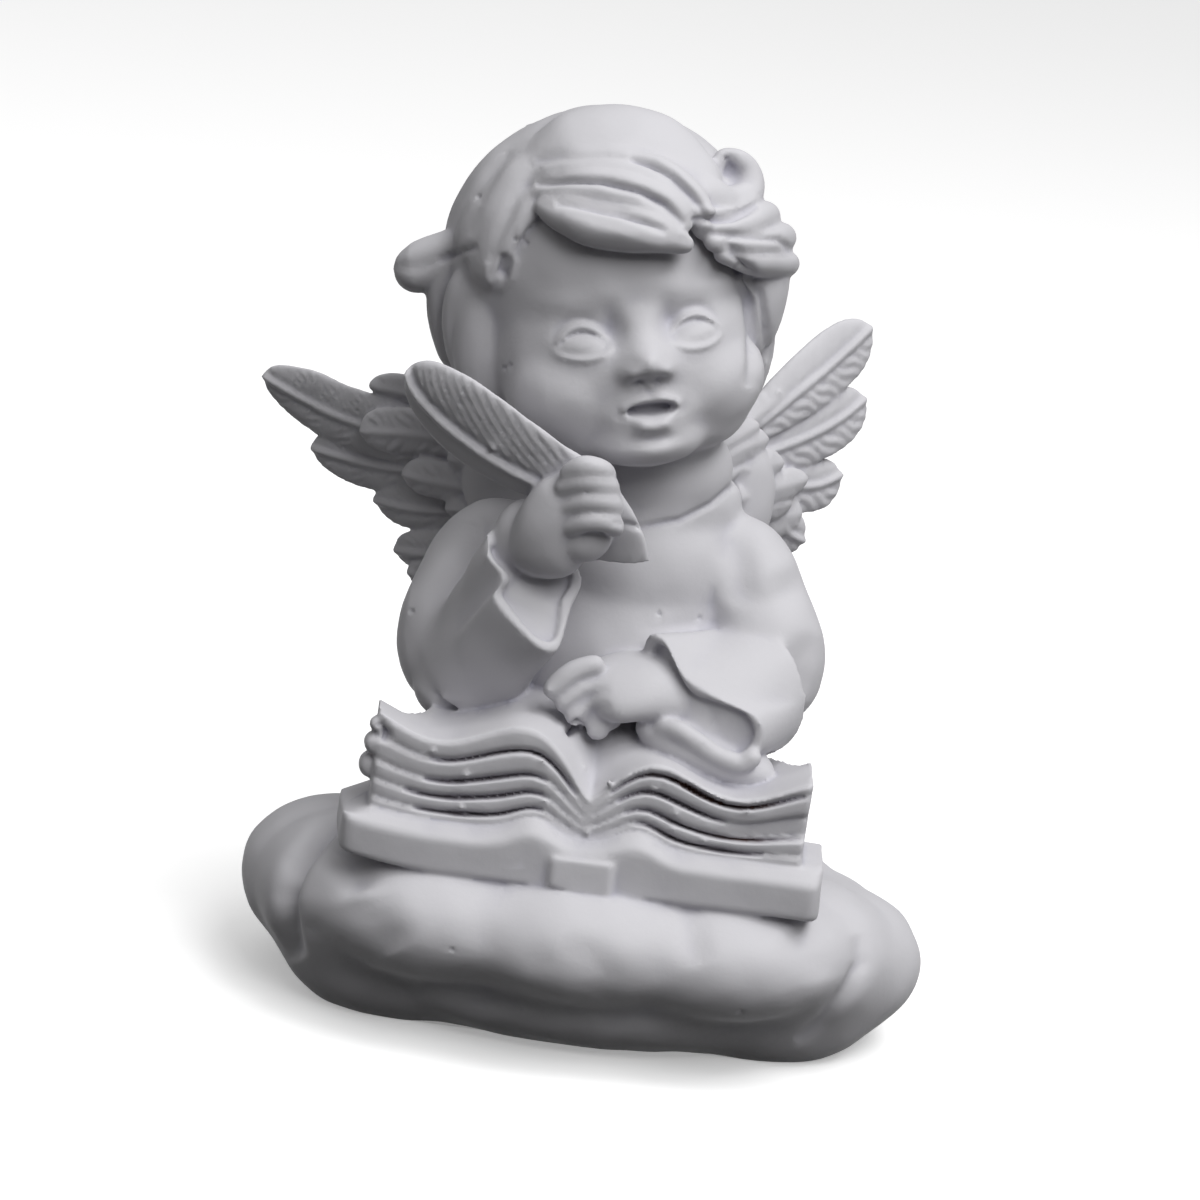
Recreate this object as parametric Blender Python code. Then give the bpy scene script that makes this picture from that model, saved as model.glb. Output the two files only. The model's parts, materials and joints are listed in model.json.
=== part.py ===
"""Angel figurine: a small cast plaster cherub with wings, who writes with a quill over an open book on a cloud.

The figure is one casting, so the script ends with one object. It is worked the way a sculptor works clay: soft
lumps first, smoothed together, then the crisp forms, which are locks of hair, feathers, hands, sleeves and the book,
and then a voxel remesh that closes them all into one skin.

Sizes and places are millimetres, and the finished mesh is scaled to metres. X runs to the viewer's right, Y to the
back and Z up. The origin is the middle of the flat underside.
"""

import math

import bmesh
import bpy
from mathutils import Matrix, Vector

METRES_PER_MM = 0.001

# Driving sizes in millimetres
CLOUD_HALF_WIDTH = 33.9
CLOUD_BACK = 24.5
CLOUD_FRONT = 27.2
LOBE_HEIGHT = 18.0
BOOK_FRONT = -22.0
BOOK_BACK = -1.5
BOOK_RISE = 0.5
END_SPLAY = 1.2
END_CUT = 9.5
COVER_LEFT = -23.2
COVER_RIGHT = 21.7
COVER_LEVEL = 21.2
COVER_THICK = 3.9
PAGE_LEFT = -20.9
PAGE_RIGHT = 19.6
PAGE_FRONT = -20.6
GUTTER_X = -0.7
GUTTER_LEVEL = 26.0
LEFT_PAGE_LEVEL = 31.0
RIGHT_PAGE_LEVEL = 29.1
HEAD_HALF_WIDTH = 14.4
FEATHER_HALF_THICK = 0.95
QUILL_HALF_WIDTH = 3.9
FINGER_RADIUS = 1.25
SLEEVE_RADIUS = 6.4
SLEEVE_WALL = 1.3

# Mesh sizes in millimetres, and how many triangles the finished solid keeps
SOFT_VOXEL = 0.8
SKIN_VOXEL = 0.5
TRIANGLES = 9700


def turned(x=0.0, y=0.0, z=0.0):
    """A rotation by these degrees about X, then Y, then Z."""
    about_x = Matrix.Rotation(math.radians(x), 4, "X")
    about_y = Matrix.Rotation(math.radians(y), 4, "Y")
    about_z = Matrix.Rotation(math.radians(z), 4, "Z")
    return about_z @ about_y @ about_x


# The head turns to the viewer's right, its crown leans to the left, and the child looks up a little
HEAD = Matrix.Translation((-4.4, 0.4, 69.3)) @ turned(-4.0, -12.0, 11.5)
CRANIUM = Vector((0.0, 1.5, 2.5))
WORLD = Matrix()


def smooth_run(rows, steps=6):
    """Rows of numbers along a Catmull-Rom curve through these rows."""
    run = []
    last = len(rows) - 1
    for index in range(last):
        before = rows[max(index - 1, 0)]
        start = rows[index]
        end = rows[index + 1]
        after = rows[min(index + 2, last)]
        for step in range(steps):
            t = step / steps
            row = []
            for a, b, c, d in zip(before, start, end, after):
                bend = (2 * a - 5 * b + 4 * c - d) * t * t + (3 * b - a - 3 * c + d) * t ** 3
                row.append(0.5 * (2 * b + (c - a) * t + bend))
            run.append(row)
    run.append(list(rows[last]))
    return run


def ball(clay, centre, radii, turn=(0, 0, 0), frame=WORLD):
    """Press a round or egg-shaped lump into the clay."""
    stretch = Matrix.Diagonal((*radii, 1.0))
    place = frame @ Matrix.Translation(centre) @ turned(*turn) @ stretch
    bmesh.ops.create_uvsphere(clay, u_segments=28, v_segments=18, radius=1.0, matrix=place)


def skin(clay, rings):
    """Close a tube over rings that have the same number of points."""
    loops = [[clay.verts.new(point) for point in ring] for ring in rings]
    count = len(loops[0])
    for near, far in zip(loops, loops[1:]):
        for i in range(count):
            j = (i + 1) % count
            clay.faces.new((near[i], near[j], far[j], far[i]))
    clay.faces.new(list(reversed(loops[0])))
    clay.faces.new(loops[-1])


def ring_about(centre, across, up, half_width, half_thick, sides):
    """The points of one elliptical ring."""
    points = []
    for i in range(sides):
        angle = 2 * math.pi * i / sides
        points.append(centre + across * (half_width * math.cos(angle)) + up * (half_thick * math.sin(angle)))
    return points


def limb(clay, rows, facing=(0, -1, 0), frame=WORLD, sides=16, steps=6, round_ends=True):
    """Sweep an ellipse along rows of x, y, z, half width and half thickness.

    The width lies across the run, square to the facing direction. A facing of None faces out from the cranium.
    """
    run = smooth_run(rows, steps)
    centres = [Vector(row[:3]) for row in run]
    rings = []
    last = len(run) - 1
    for index, row in enumerate(run):
        along = (centres[min(index + 1, last)] - centres[max(index - 1, 0)]).normalized()
        out = centres[index] - CRANIUM if facing is None else Vector(facing)
        across = along.cross(out).normalized()
        up = across.cross(along).normalized()
        half_width = max(row[3], 0.05)
        half_thick = max(row[4], 0.05)
        caps = [(0.0, 1.0)]
        if round_ends and index in (0, last):
            caps = [(math.sin(a), math.cos(a)) for a in (0.0, 0.5, 1.0, 1.4)]
            if index == 0:
                caps = [(-ahead, shrink) for ahead, shrink in reversed(caps)]
        reach = min(half_width, half_thick)
        for ahead, shrink in caps:
            centre = centres[index] + along * (ahead * reach)
            ring = ring_about(centre, across, up, half_width * shrink, half_thick * shrink, sides)
            rings.append([frame @ point for point in ring])
    skin(clay, rings)


def feather(clay, spine, half_width, facing, half_thick=FEATHER_HALF_THICK, root=0.6, frame=WORLD):
    """A flat leaf with a narrow root and a round tip, along its spine."""
    run = smooth_run(spine, 5)
    rows = []
    for index, point in enumerate(run):
        t = index / (len(run) - 1)
        swell = root + (1 - root) * math.sin(0.5 * math.pi * min(t / 0.55, 1.0))
        tip = math.sqrt(max(1.0 - max(0.0, (t - 0.66) / 0.34) ** 2, 0.0))
        rows.append((*point, max(half_width * swell * tip, 0.35), half_thick))
    limb(clay, rows, facing, frame, steps=1, round_ends=False)


def sleeve_bell(clay, elbow, rim, wall=SLEEVE_WALL, mouth_depth=0.16):
    """The flared end of a sleeve: a wall from the elbow's ring out to the wavy rim, and back in to a hollow.

    elbow is x, y, z and radius. rim is the points of the sleeve's edge, round once.
    """
    closed = [rim[-1], *rim, rim[0], rim[1]]
    edge = [Vector(row) for row in smooth_run(closed, 4)[4:-5]]
    centre = sum(edge, Vector()) / len(edge)
    root = Vector(elbow[:3])
    axis = (centre - root).normalized()
    root_ring = []
    for point in edge:
        side = point - centre
        side -= axis * side.dot(axis)
        root_ring.append(root + side.normalized() * elbow[3])
    inner_edge = [point + (centre - point).normalized() * wall for point in edge]
    inner_root = [root + (point - root) * 0.7 for point in root_ring]
    rings = []
    for t in (0.0, 0.25, 0.5, 0.75, 0.9, 1.0):
        flare = t ** 1.5
        rings.append([a + (b - a) * (0.6 * t + 0.4 * flare) for a, b in zip(root_ring, edge)])
    for t in (0.0, 0.15, 0.35, mouth_depth):
        rings.append([b + (a - b) * t for a, b in zip(inner_root, inner_edge)])
    skin(clay, rings)


def bump(distance, half_width):
    """A smooth hump that is 1 at its middle."""
    return math.exp(-((distance / half_width) ** 2))


def cloud(clay):
    """A flat puffy cloud: a low cushion and the fat lobes that stand out round its edge."""
    half = LOBE_HEIGHT / 2
    deep = 13.2
    ball(clay, (0, 1, 6.0), (28.5, 18.5, 9.0))
    ball(clay, (0, -1, 10.0), (25.0, 20.0, 9.5))
    ball(clay, (-CLOUD_HALF_WIDTH + 10.6, 1.0, 9.0), (10.6, 13.5, half - 0.8), turn=(0, 6, 0))
    ball(clay, (CLOUD_HALF_WIDTH - 11.0, 0.0, 9.4), (11.0, 13.5, half - 0.4), turn=(0, -6, 0))
    ball(clay, (-21.0, -7.0, 9.4), (11.0, 12.5, half))
    ball(clay, (-13.0, deep - CLOUD_FRONT + 1.7, 9.6), (14.0, deep, half + 0.5))
    ball(clay, (0.0, deep - CLOUD_FRONT, 9.6), (15.0, deep, half + 0.6))
    ball(clay, (12.5, deep - CLOUD_FRONT + 1.6, 9.6), (14.0, deep, half + 0.5))
    for side in (-1, 1):
        ball(clay, (side * 13.0, CLOUD_BACK - 12.5, 8.8), (13.5, 12.5, half))
        ball(clay, (side * 25.0, 8.5, 8.2), (8.0, 9.5, half - 1.2))


def body(clay):
    """The robed trunk, the neck, the shoulder blades, and the sleeves down to the elbows."""
    ball(clay, (-0.5, 3.0, 35.0), (14.0, 10.6, 19.0))
    ball(clay, (-0.5, 2.5, 43.5), (12.5, 9.2, 9.5), turn=(0, -4, 10))
    ball(clay, (0.5, 3.5, 26.0), (15.5, 11.5, 12.0))
    limb(clay, [(0.2, 1.2, 48.0, 8.0, 7.2), (-0.4, 0.4, 58.0, 7.4, 7.2)], sides=20)
    ball(clay, (-9.0, 9.0, 45.5), (5.0, 4.2, 8.0))
    ball(clay, (-12.0, 9.4, 49.0), (5.4, 2.8, 6.0))
    ball(clay, (7.0, 8.4, 50.5), (5.4, 4.0, 8.0), turn=(0, 12, 0))
    limb(clay, [
        (-9.0, 2.5, 47.2, 6.0, 5.6),
        (-12.8, 0.0, 42.0, 6.5, 6.0),
        (-15.0, -3.6, 34.5, SLEEVE_RADIUS, 6.4),
        (-13.2, -7.0, 32.3, SLEEVE_RADIUS, 6.2),
    ])
    limb(clay, [
        (8.0, 3.0, 49.0, 5.2, 5.2),
        (11.2, 0.0, 44.0, 5.5, 5.8),
        (14.1, -3.6, 36.8, SLEEVE_RADIUS, 6.4),
        (12.6, -7.4, 34.2, SLEEVE_RADIUS, 6.2),
    ])


def head(clay):
    """A child's round head: cranium, full cheeks, small chin, button nose and parted lips."""
    wide = HEAD_HALF_WIDTH
    ball(clay, (0, 1.5, 3.0), (wide, 14.6, 14.0), frame=HEAD)
    ball(clay, (0, -1.8, -3.5), (wide - 1.4, 12.6, 10.6), frame=HEAD)
    for side in (-1, 1):
        ball(clay, (side * 6.4, -7.2, -6.8), (6.0, 5.8, 5.4), frame=HEAD)
        ball(clay, (side * 5.4, -5.8, -9.6), (5.6, 5.4, 4.4), frame=HEAD)
        ball(clay, (side * 5.2, -9.9, -2.0), (3.1, 2.9, 2.0), frame=HEAD)
    ball(clay, (0, -10.0, -11.2), (5.2, 4.0, 3.1), frame=HEAD)
    ball(clay, (0, -11.0, -8.6), (5.0, 3.6, 3.2), frame=HEAD)
    ball(clay, (0, -5.0, 4.2), (11.0, 8.0, 8.4), frame=HEAD)


def face(clay):
    """The small forms that stand out from the face."""
    limb(clay, [(0, -13.2, -1.0, 1.1, 0.7), (0, -14.6, -4.0, 1.4, 1.1), (0, -15.3, -5.0, 1.5, 1.3)], frame=HEAD)
    for side in (-1, 1):
        ball(clay, (side * 1.6, -14.0, -5.2), (1.1, 1.1, 0.9), frame=HEAD)
    limb(clay, [(-2.6, -12.7, -8.6, 0.4, 0.5), (0, -13.9, -7.6, 0.8, 0.8), (2.6, -12.7, -8.6, 0.4, 0.5)], frame=HEAD)
    limb(clay, [(-2.2, -12.7, -9.0, 0.4, 0.5), (0, -13.6, -9.9, 0.9, 0.8), (2.2, -12.7, -9.0, 0.4, 0.5)], frame=HEAD)
    ball(clay, (-12.6, -5.2, -0.2), (2.0, 2.6, 3.4), turn=(0, 0, -20), frame=HEAD)


def lock(clay, *rows):
    """A lock of hair that lies flat to the cranium."""
    limb(clay, rows, facing=None, frame=HEAD, sides=14, steps=5)


def hair(clay):
    """The hair: a cap, a fringe swept from the parting to the right, and curls at both sides."""
    ball(clay, (-0.4, 3.0, 4.2), (15.3, 14.6, 14.1), frame=HEAD)
    ball(clay, (0, 8.0, -2.5), (13.2, 8.4, 11.0), frame=HEAD)
    # The crown, swept over from the parting
    lock(clay, (-6.4, -4.6, 14.6, 2.6, 1.4), (-2.6, -4.2, 16.4, 4.6, 2.0), (2.6, -5.2, 15.6, 4.8, 2.2),
         (6.4, -8.0, 12.2, 3.8, 2.0), (8.4, -9.8, 9.6, 2.4, 1.6))
    lock(clay, (-5.6, -0.5, 15.4, 3.0, 1.6), (-1.0, 0.8, 17.0, 4.4, 2.0), (4.6, 0.0, 16.4, 4.6, 2.2),
         (8.8, -4.0, 12.6, 3.6, 2.0), (11.6, -6.6, 8.6, 2.4, 1.6))
    # Three forelocks over the forehead
    lock(clay, (-7.2, -7.4, 13.2, 0.8, 0.9), (-3.6, -9.4, 13.2, 1.5, 1.5), (0.6, -10.8, 12.6, 1.6, 1.7),
         (4.2, -11.6, 10.8, 1.5, 1.6), (6.4, -12.4, 7.6, 0.8, 0.9))
    lock(clay, (-7.4, -8.4, 12.4, 0.8, 0.8), (-4.4, -10.8, 11.8, 1.4, 1.5), (-0.4, -12.2, 11.0, 1.6, 1.7),
         (3.6, -12.8, 9.0, 1.2, 1.3), (4.8, -13.0, 7.6, 0.6, 0.8))
    lock(clay, (-7.4, -9.0, 11.6, 0.8, 0.8), (-5.8, -11.6, 9.6, 1.5, 1.4), (-2.6, -13.2, 8.2, 1.9, 1.7),
         (1.6, -13.8, 7.4, 1.7, 1.7), (4.8, -13.4, 5.8, 0.6, 0.9))
    # The curl that hooks up at the right
    lock(clay, (6.6, -9.2, 12.2, 2.0, 1.6), (9.0, -9.8, 10.2, 2.2, 1.8), (11.6, -7.4, 9.6, 2.0, 1.8),
         (13.2, -4.6, 11.0, 1.6, 1.7), (12.6, -4.2, 13.4, 1.2, 1.4), (11.0, -5.4, 13.6, 0.8, 0.9))
    lock(clay, (6.6, -11.6, 8.6, 1.0, 1.0), (9.6, -10.4, 7.8, 1.3, 1.3), (12.6, -7.0, 8.2, 0.9, 1.0))
    # Locks that stand out over the right temple
    lock(clay, (7.4, -12.2, 7.2, 0.8, 0.8), (11.0, -10.2, 6.6, 1.4, 1.4), (14.6, -6.0, 6.4, 1.9, 1.8),
         (16.4, -1.8, 5.4, 1.4, 1.5))
    lock(clay, (8.0, -12.0, 6.0, 0.8, 0.8), (12.0, -9.8, 4.8, 1.4, 1.4), (15.4, -5.4, 4.0, 2.0, 1.9),
         (16.8, -1.6, 3.0, 1.5, 1.6))
    lock(clay, (13.4, -5.6, 2.4, 1.2, 1.0), (14.4, -3.0, -1.4, 1.8, 1.4), (13.8, -1.6, -6.0, 1.8, 1.4),
         (12.0, -1.0, -10.0, 1.2, 1.0))
    # The parting's left side, combed down to a fat curl that sticks out
    lock(clay, (-6.6, -5.0, 14.6, 1.6, 1.0), (-9.8, -3.8, 13.2, 2.6, 1.6), (-12.6, -3.6, 9.8, 2.8, 1.8),
         (-14.2, -2.4, 6.8, 2.4, 1.8))
    lock(clay, (-7.2, -8.4, 12.0, 1.0, 0.8), (-10.4, -7.4, 10.2, 1.8, 1.2), (-12.6, -6.6, 7.2, 2.0, 1.4),
         (-13.6, -4.8, 4.2, 1.6, 1.2))
    limb(clay, [(-17.8, -2.0, 73.4, 1.8, 1.8), (-20.0, -0.5, 71.8, 2.3, 2.2), (-22.2, 0.4, 70.6, 2.6, 2.4),
                (-24.0, 1.0, 70.0, 2.5, 2.4)], facing=(0, -1, 0.2))
    limb(clay, [(-18.3, -1.0, 71.9, 2.2, 2.2), (-20.6, 0.0, 69.0, 2.5, 2.4), (-20.8, 0.6, 66.4, 2.4, 2.4),
                (-19.8, 1.0, 63.6, 2.4, 2.4), (-18.4, 1.6, 60.4, 2.2, 2.2)], facing=(-0.4, -1, 0))
    limb(clay, [(-16.6, -4.0, 70.6, 1.8, 1.4), (-18.0, -3.6, 67.6, 2.6, 2.2), (-18.2, -3.0, 64.4, 2.8, 2.4),
                (-16.8, -2.6, 60.6, 2.6, 2.4), (-14.8, -2.0, 57.2, 2.0, 2.0)], facing=(-0.4, -1, 0))


def wing(clay, feathers, coverts, facing):
    """Long feathers one behind the other, each a little further back, with short round ones over their roots."""
    step_back = Vector((0, 0.75, 0))
    for index, (spine, half_width) in enumerate(feathers):
        shift = step_back * index
        feather(clay, [Vector(point) + shift for point in spine], half_width, facing)
    for spine, half_width in coverts:
        feather(clay, spine, half_width, facing, root=0.8)


def wings(clay):
    """Both wings, which spread from the shoulder blades and sweep back."""
    left_facing = (-0.25, -0.95, -0.1)
    wing(clay, [
        ([(-9.0, 11.0, 47.5), (-19.0, 13.2, 50.6), (-29.0, 15.0, 52.4), (-38.5, 17.0, 55.4)], 3.0),
        ([(-9.0, 11.0, 45.5), (-17.0, 13.0, 46.6), (-25.0, 14.8, 47.4), (-31.6, 16.0, 48.6)], 2.9),
        ([(-8.5, 11.0, 43.5), (-15.0, 12.4, 43.4), (-21.0, 13.6, 43.6), (-26.6, 14.6, 44.6)], 2.6),
        ([(-8.0, 10.5, 41.5), (-14.0, 11.6, 40.6), (-19.0, 12.4, 40.2), (-23.8, 13.2, 40.6)], 2.3),
        ([(-8.0, 10.0, 39.0), (-13.0, 10.8, 38.0), (-17.5, 11.6, 37.2), (-20.8, 12.0, 36.8)], 1.9),
    ], [
        ([(-12.0, 11.0, 53.0), (-20.0, 12.4, 55.0), (-28.0, 13.6, 56.0)], 2.0),
        ([(-12.0, 10.4, 50.6), (-20.0, 11.8, 52.4), (-28.4, 13.0, 51.6)], 2.5),
        ([(-12.0, 10.2, 47.6), (-18.0, 11.2, 48.0), (-24.2, 12.0, 47.8)], 2.1),
        ([(-11.0, 9.8, 45.0), (-15.0, 10.4, 44.8), (-19.8, 11.2, 44.6)], 1.8),
    ], left_facing)
    right_facing = (0.35, -0.93, 0.05)
    wing(clay, [
        ([(6.0, 11.5, 50.0), (10.4, 15.2, 56.6), (15.8, 18.6, 61.6), (21.9, 21.6, 66.2)], 2.9),
        ([(6.5, 11.5, 49.5), (11.0, 14.6, 54.4), (16.0, 17.8, 57.0), (21.8, 20.6, 59.6)], 2.8),
        ([(7.0, 11.5, 47.5), (11.0, 13.8, 50.2), (15.4, 15.8, 51.4), (20.2, 17.8, 52.8)], 2.6),
        ([(7.0, 11.0, 45.5), (10.6, 12.6, 47.2), (14.0, 13.8, 46.8), (17.2, 14.8, 46.0)], 2.1),
    ], [
        ([(6.0, 10.5, 54.4), (10.0, 13.0, 58.2), (14.6, 15.2, 60.4)], 1.7),
        ([(5.0, 9.4, 52.4), (8.6, 11.2, 54.4), (12.8, 12.8, 54.4)], 2.3),
        ([(6.0, 9.6, 49.8), (9.4, 11.2, 50.6), (13.0, 12.6, 50.4)], 1.9),
    ], right_facing)


def sleeves_and_hands(clay):
    """Two bell sleeves with hollow mouths, the fist that grips the quill, and the hand laid on the page."""
    sleeve_bell(clay, (-13.4, -6.2, 33.6, SLEEVE_RADIUS), [
        (-13.6, -14.6, 48.6), (-12.0, -16.4, 45.0), (-11.8, -17.4, 42.2), (-8.8, -18.4, 39.8),
        (-5.2, -18.0, 38.3), (-3.8, -15.0, 41.6), (-4.8, -11.4, 46.0), (-9.4, -10.6, 49.6),
    ])
    limb(clay, [(-7.0, -11.6, 40.4, 3.8, 3.4), (-7.6, -12.8, 43.4, 4.2, 3.6), (-7.8, -13.8, 46.2, 3.6, 3.4),
                (-7.9, -14.9, 48.8, 3.4, 3.3)])
    ball(clay, (-7.9, -15.4, 50.4), (3.5, 3.3, 5.4), turn=(0, 28, 0))
    ball(clay, (-6.2, -15.8, 52.6), (3.8, 3.2, 4.2), turn=(0, 30, 0))
    ball(clay, (-4.4, -16.2, 53.2), (3.8, 3.0, 3.9), turn=(0, 10, 0))
    ball(clay, (-4.4, -16.4, 50.2), (2.7, 2.3, 2.3), turn=(0, 10, 0))
    for index in range(4):
        drop = 2.0 * index
        limb(clay, [
            (-6.6 - 0.15 * index, -18.4, 55.8 - drop, FINGER_RADIUS, FINGER_RADIUS),
            (-4.0, -19.8, 55.5 - drop, FINGER_RADIUS, FINGER_RADIUS),
            (-2.1, -18.4, 55.0 - drop, FINGER_RADIUS, FINGER_RADIUS),
            (-2.6, -15.8, 54.8 - drop, 1.1, 1.1),
        ], sides=10)
    sleeve_bell(clay, (13.2, -6.6, 35.0, SLEEVE_RADIUS), [
        (3.9, -12.6, 40.2), (7.2, -15.4, 36.6), (11.2, -16.6, 34.8), (14.6, -16.8, 33.4),
        (15.0, -16.8, 30.8), (11.6, -17.0, 29.0), (6.4, -16.6, 30.2), (3.4, -11.6, 34.0),
    ])
    limb(clay, [(10.5, -9.4, 34.5, 3.4, 3.2), (6.0, -12.4, 34.6, 3.4, 3.0), (2.2, -13.8, 34.8, 4.2, 3.2),
                (-1.4, -14.4, 34.6, 3.6, 2.6)], facing=(0, -0.5, 1))
    for index in range(4):
        drop = 1.25 * index
        limb(clay, [
            (-0.6 + 0.5 * index, -14.0 - 0.5 * index, 36.4 - drop, 1.2, 1.2),
            (-4.0 + 0.7 * index, -14.8 - 0.5 * index, 35.4 - drop, 1.15, 1.15),
            (-5.6 + 1.2 * index, -14.6 - 0.5 * index, 33.4 - drop, 1.0, 1.0),
        ], sides=10)


def quill(clay):
    """The broad feather held against the cheek, cut off square at its lower end."""
    rows = []
    spine = [(-22.2, -13.0, 64.2), (-18.4, -14.0, 61.2), (-13.4, -14.8, 57.8), (-8.0, -14.8, 54.6),
             (-2.6, -14.2, 51.2), (0.2, -13.6, 47.8)]
    run = smooth_run(spine, 5)
    for index, point in enumerate(run):
        t = index / (len(run) - 1)
        swell = 0.42 + 0.58 * math.sin(0.5 * math.pi * min(t / 0.22, 1.0))
        rows.append((*point, QUILL_HALF_WIDTH * swell * (1 - 0.32 * t), 0.95))
    limb(clay, rows, facing=(-0.25, -0.9, -0.3), steps=1, round_ends=False)


def page_height(x):
    """How high the open pages stand at x: a deep gutter, a crest beside it, then one slow wave."""
    out = abs(x - GUTTER_X)
    level = LEFT_PAGE_LEVEL if x < GUTTER_X else RIGHT_PAGE_LEVEL
    crest = 6.2 if x < GUTTER_X else 5.2
    wave = 1.25 * math.cos(2 * math.pi * (out - crest) / 16.6)
    rise = 1.0 - math.exp(-((out / 2.6) ** 1.3))
    return GUTTER_LEVEL + (level - GUTTER_LEVEL + wave) * rise


def cover_height(x):
    """How high the cover's upper edge stands at x."""
    lifted_end = min(max((-x - 14.0) / 9.0, 0.0), 1.0) ** 2
    return COVER_LEVEL + 1.5 * bump(abs(x - GUTTER_X) - 4.8, 2.6) + lifted_end


def slab(clay, left, right, front, back, low, high, round_corner=1.0, count=44):
    """A sheet or block whose lower and upper faces are functions of x.

    It rises a little towards the back. Its ends are cut short there, and the left one splays outwards.
    """
    rings = []
    for index in range(count + 1):
        x = left + (right - left) * index / count
        near_end = max(0.0, round_corner - min(x - left, right - x))
        draw_in = round_corner - math.sqrt(max(round_corner ** 2 - near_end ** 2, 0.0))
        bottom = low(x)
        top = high(x)
        y0 = front + draw_in
        y1 = back - END_CUT * (abs(x) / 21.0) ** 6
        splayed = x - END_SPLAY * max(0.0, x / COVER_LEFT) ** 2
        rise = BOOK_RISE * (y1 - y0) / (BOOK_BACK - BOOK_FRONT)
        corners = (x, y0, bottom), (splayed, y1, bottom + rise), (splayed, y1, top + rise), (x, y0, top)
        rings.append([Vector(corner) for corner in corners])
    skin(clay, rings)


def book(clay):
    """The open book: its cover with a flat spine, and a block of wavy pages at each side of the gutter."""
    slab(clay, COVER_LEFT, COVER_RIGHT, BOOK_FRONT, BOOK_BACK, lambda x: cover_height(x) - COVER_THICK, cover_height)
    slab(clay, -3.7, 2.4, BOOK_FRONT - 0.4, BOOK_BACK, lambda x: COVER_LEVEL - 3.3, lambda x: COVER_LEVEL - 0.2)
    layers = 4
    for index in range(layers):
        share_low = index / layers
        share_high = (index + 0.86) / layers
        inset = 0.25 * (index % 2)

        def level(x, share):
            floor = cover_height(x) - 0.5
            return floor + (page_height(x) - floor) * share

        slab(clay, PAGE_LEFT + inset, PAGE_RIGHT - inset, PAGE_FRONT + inset, BOOK_BACK - 1.2,
             lambda x: level(x, share_low), lambda x: level(x, share_high))
    slab(clay, PAGE_LEFT + 0.8, PAGE_RIGHT - 0.8, PAGE_FRONT + 0.8, BOOK_BACK - 1.2,
         lambda x: COVER_LEVEL - 1.0, lambda x: page_height(x) - 0.8)


def with_modifier(thing, kind, **settings):
    """Give the object one modifier and keep the shape it makes."""
    modifier = thing.modifiers.new(kind.title(), kind)
    for name, value in settings.items():
        setattr(modifier, name, value)
    bpy.context.view_layer.update()
    shaped = thing.evaluated_get(bpy.context.evaluated_depsgraph_get())
    mesh = bpy.data.meshes.new_from_object(shaped)
    thing.modifiers.clear()
    old = thing.data
    thing.data = mesh
    bpy.data.meshes.remove(old)


def heap(name, *makers):
    """One object from the shapes that these functions press into the clay."""
    clay = bmesh.new()
    for maker in makers:
        maker(clay)
    bmesh.ops.recalc_face_normals(clay, faces=clay.faces)
    mesh = bpy.data.meshes.new(name)
    clay.to_mesh(mesh)
    clay.free()
    thing = bpy.data.objects.new(name, mesh)
    bpy.context.collection.objects.link(thing)
    return thing


def merge(into, *others):
    """Put the other objects' meshes into the first one."""
    clay = bmesh.new()
    clay.from_mesh(into.data)
    for other in others:
        clay.from_mesh(other.data)
        bpy.data.objects.remove(other)
    clay.to_mesh(into.data)
    clay.free()


def flatten_underside(thing):
    """Cut the clay off level at Z = 0, so that the figurine stands on one flat face."""
    clay = bmesh.new()
    clay.from_mesh(thing.data)
    everything = clay.verts[:] + clay.edges[:] + clay.faces[:]
    cut = bmesh.ops.bisect_plane(
        clay, geom=everything, dist=0.02, plane_co=(0, 0, 0), plane_no=(0, 0, -1), clear_outer=True
    )
    rim = [item for item in cut["geom_cut"] if isinstance(item, bmesh.types.BMEdge)]
    bmesh.ops.holes_fill(clay, edges=rim, sides=0)
    bmesh.ops.triangulate(clay, faces=clay.faces)
    bmesh.ops.recalc_face_normals(clay, faces=clay.faces)
    clay.to_mesh(thing.data)
    clay.free()


def plaster():
    """Matt off-white casting plaster."""
    material = bpy.data.materials.new("Casting plaster")
    material.use_nodes = True
    shader = material.node_tree.nodes["Principled BSDF"]
    shader.inputs["Base Color"].default_value = (0.66, 0.66, 0.69, 1.0)
    shader.inputs["Roughness"].default_value = 0.62
    shader.inputs["Metallic"].default_value = 0.0
    return material


def build():
    """Model the figurine and leave it as one object."""
    for old in list(bpy.data.objects):
        bpy.data.objects.remove(old)

    figure = heap("angel_figurine", cloud, body, head)
    with_modifier(figure, "REMESH", mode="VOXEL", voxel_size=SOFT_VOXEL)
    with_modifier(figure, "SMOOTH", factor=0.5, iterations=8)

    crisp = heap("crisp_forms", face, hair, wings, sleeves_and_hands, quill, book)
    merge(figure, crisp)
    with_modifier(figure, "REMESH", mode="VOXEL", voxel_size=SKIN_VOXEL)
    with_modifier(figure, "SMOOTH", factor=0.5, iterations=2)

    triangles = 2 * len(figure.data.polygons)
    with_modifier(figure, "DECIMATE", decimate_type="COLLAPSE", ratio=TRIANGLES / triangles)
    flatten_underside(figure)

    figure.data.transform(Matrix.Scale(METRES_PER_MM, 4))
    figure.data.shade_smooth()
    figure.data.set_sharp_from_angle(angle=math.radians(55))
    figure.data.materials.append(plaster())
    figure.data.update()


build()
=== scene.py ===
# %% [markdown]
# # A cast plaster cherub, sculpted in code
# The real figurine is one piece of casting plaster, poured into a rubber mould. Nothing on it is a separate
# part, so the visible model is one mesh too. This lesson works it as a sculptor works clay: soft masses
# first, then carving, then the crisp forms (locks, feathers, hands, sleeves and book), and last a fine skin
# over all of them.
#
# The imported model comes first. It is the fixed frame that the sculpture has to stay inside.

import json
import math
import time

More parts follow.
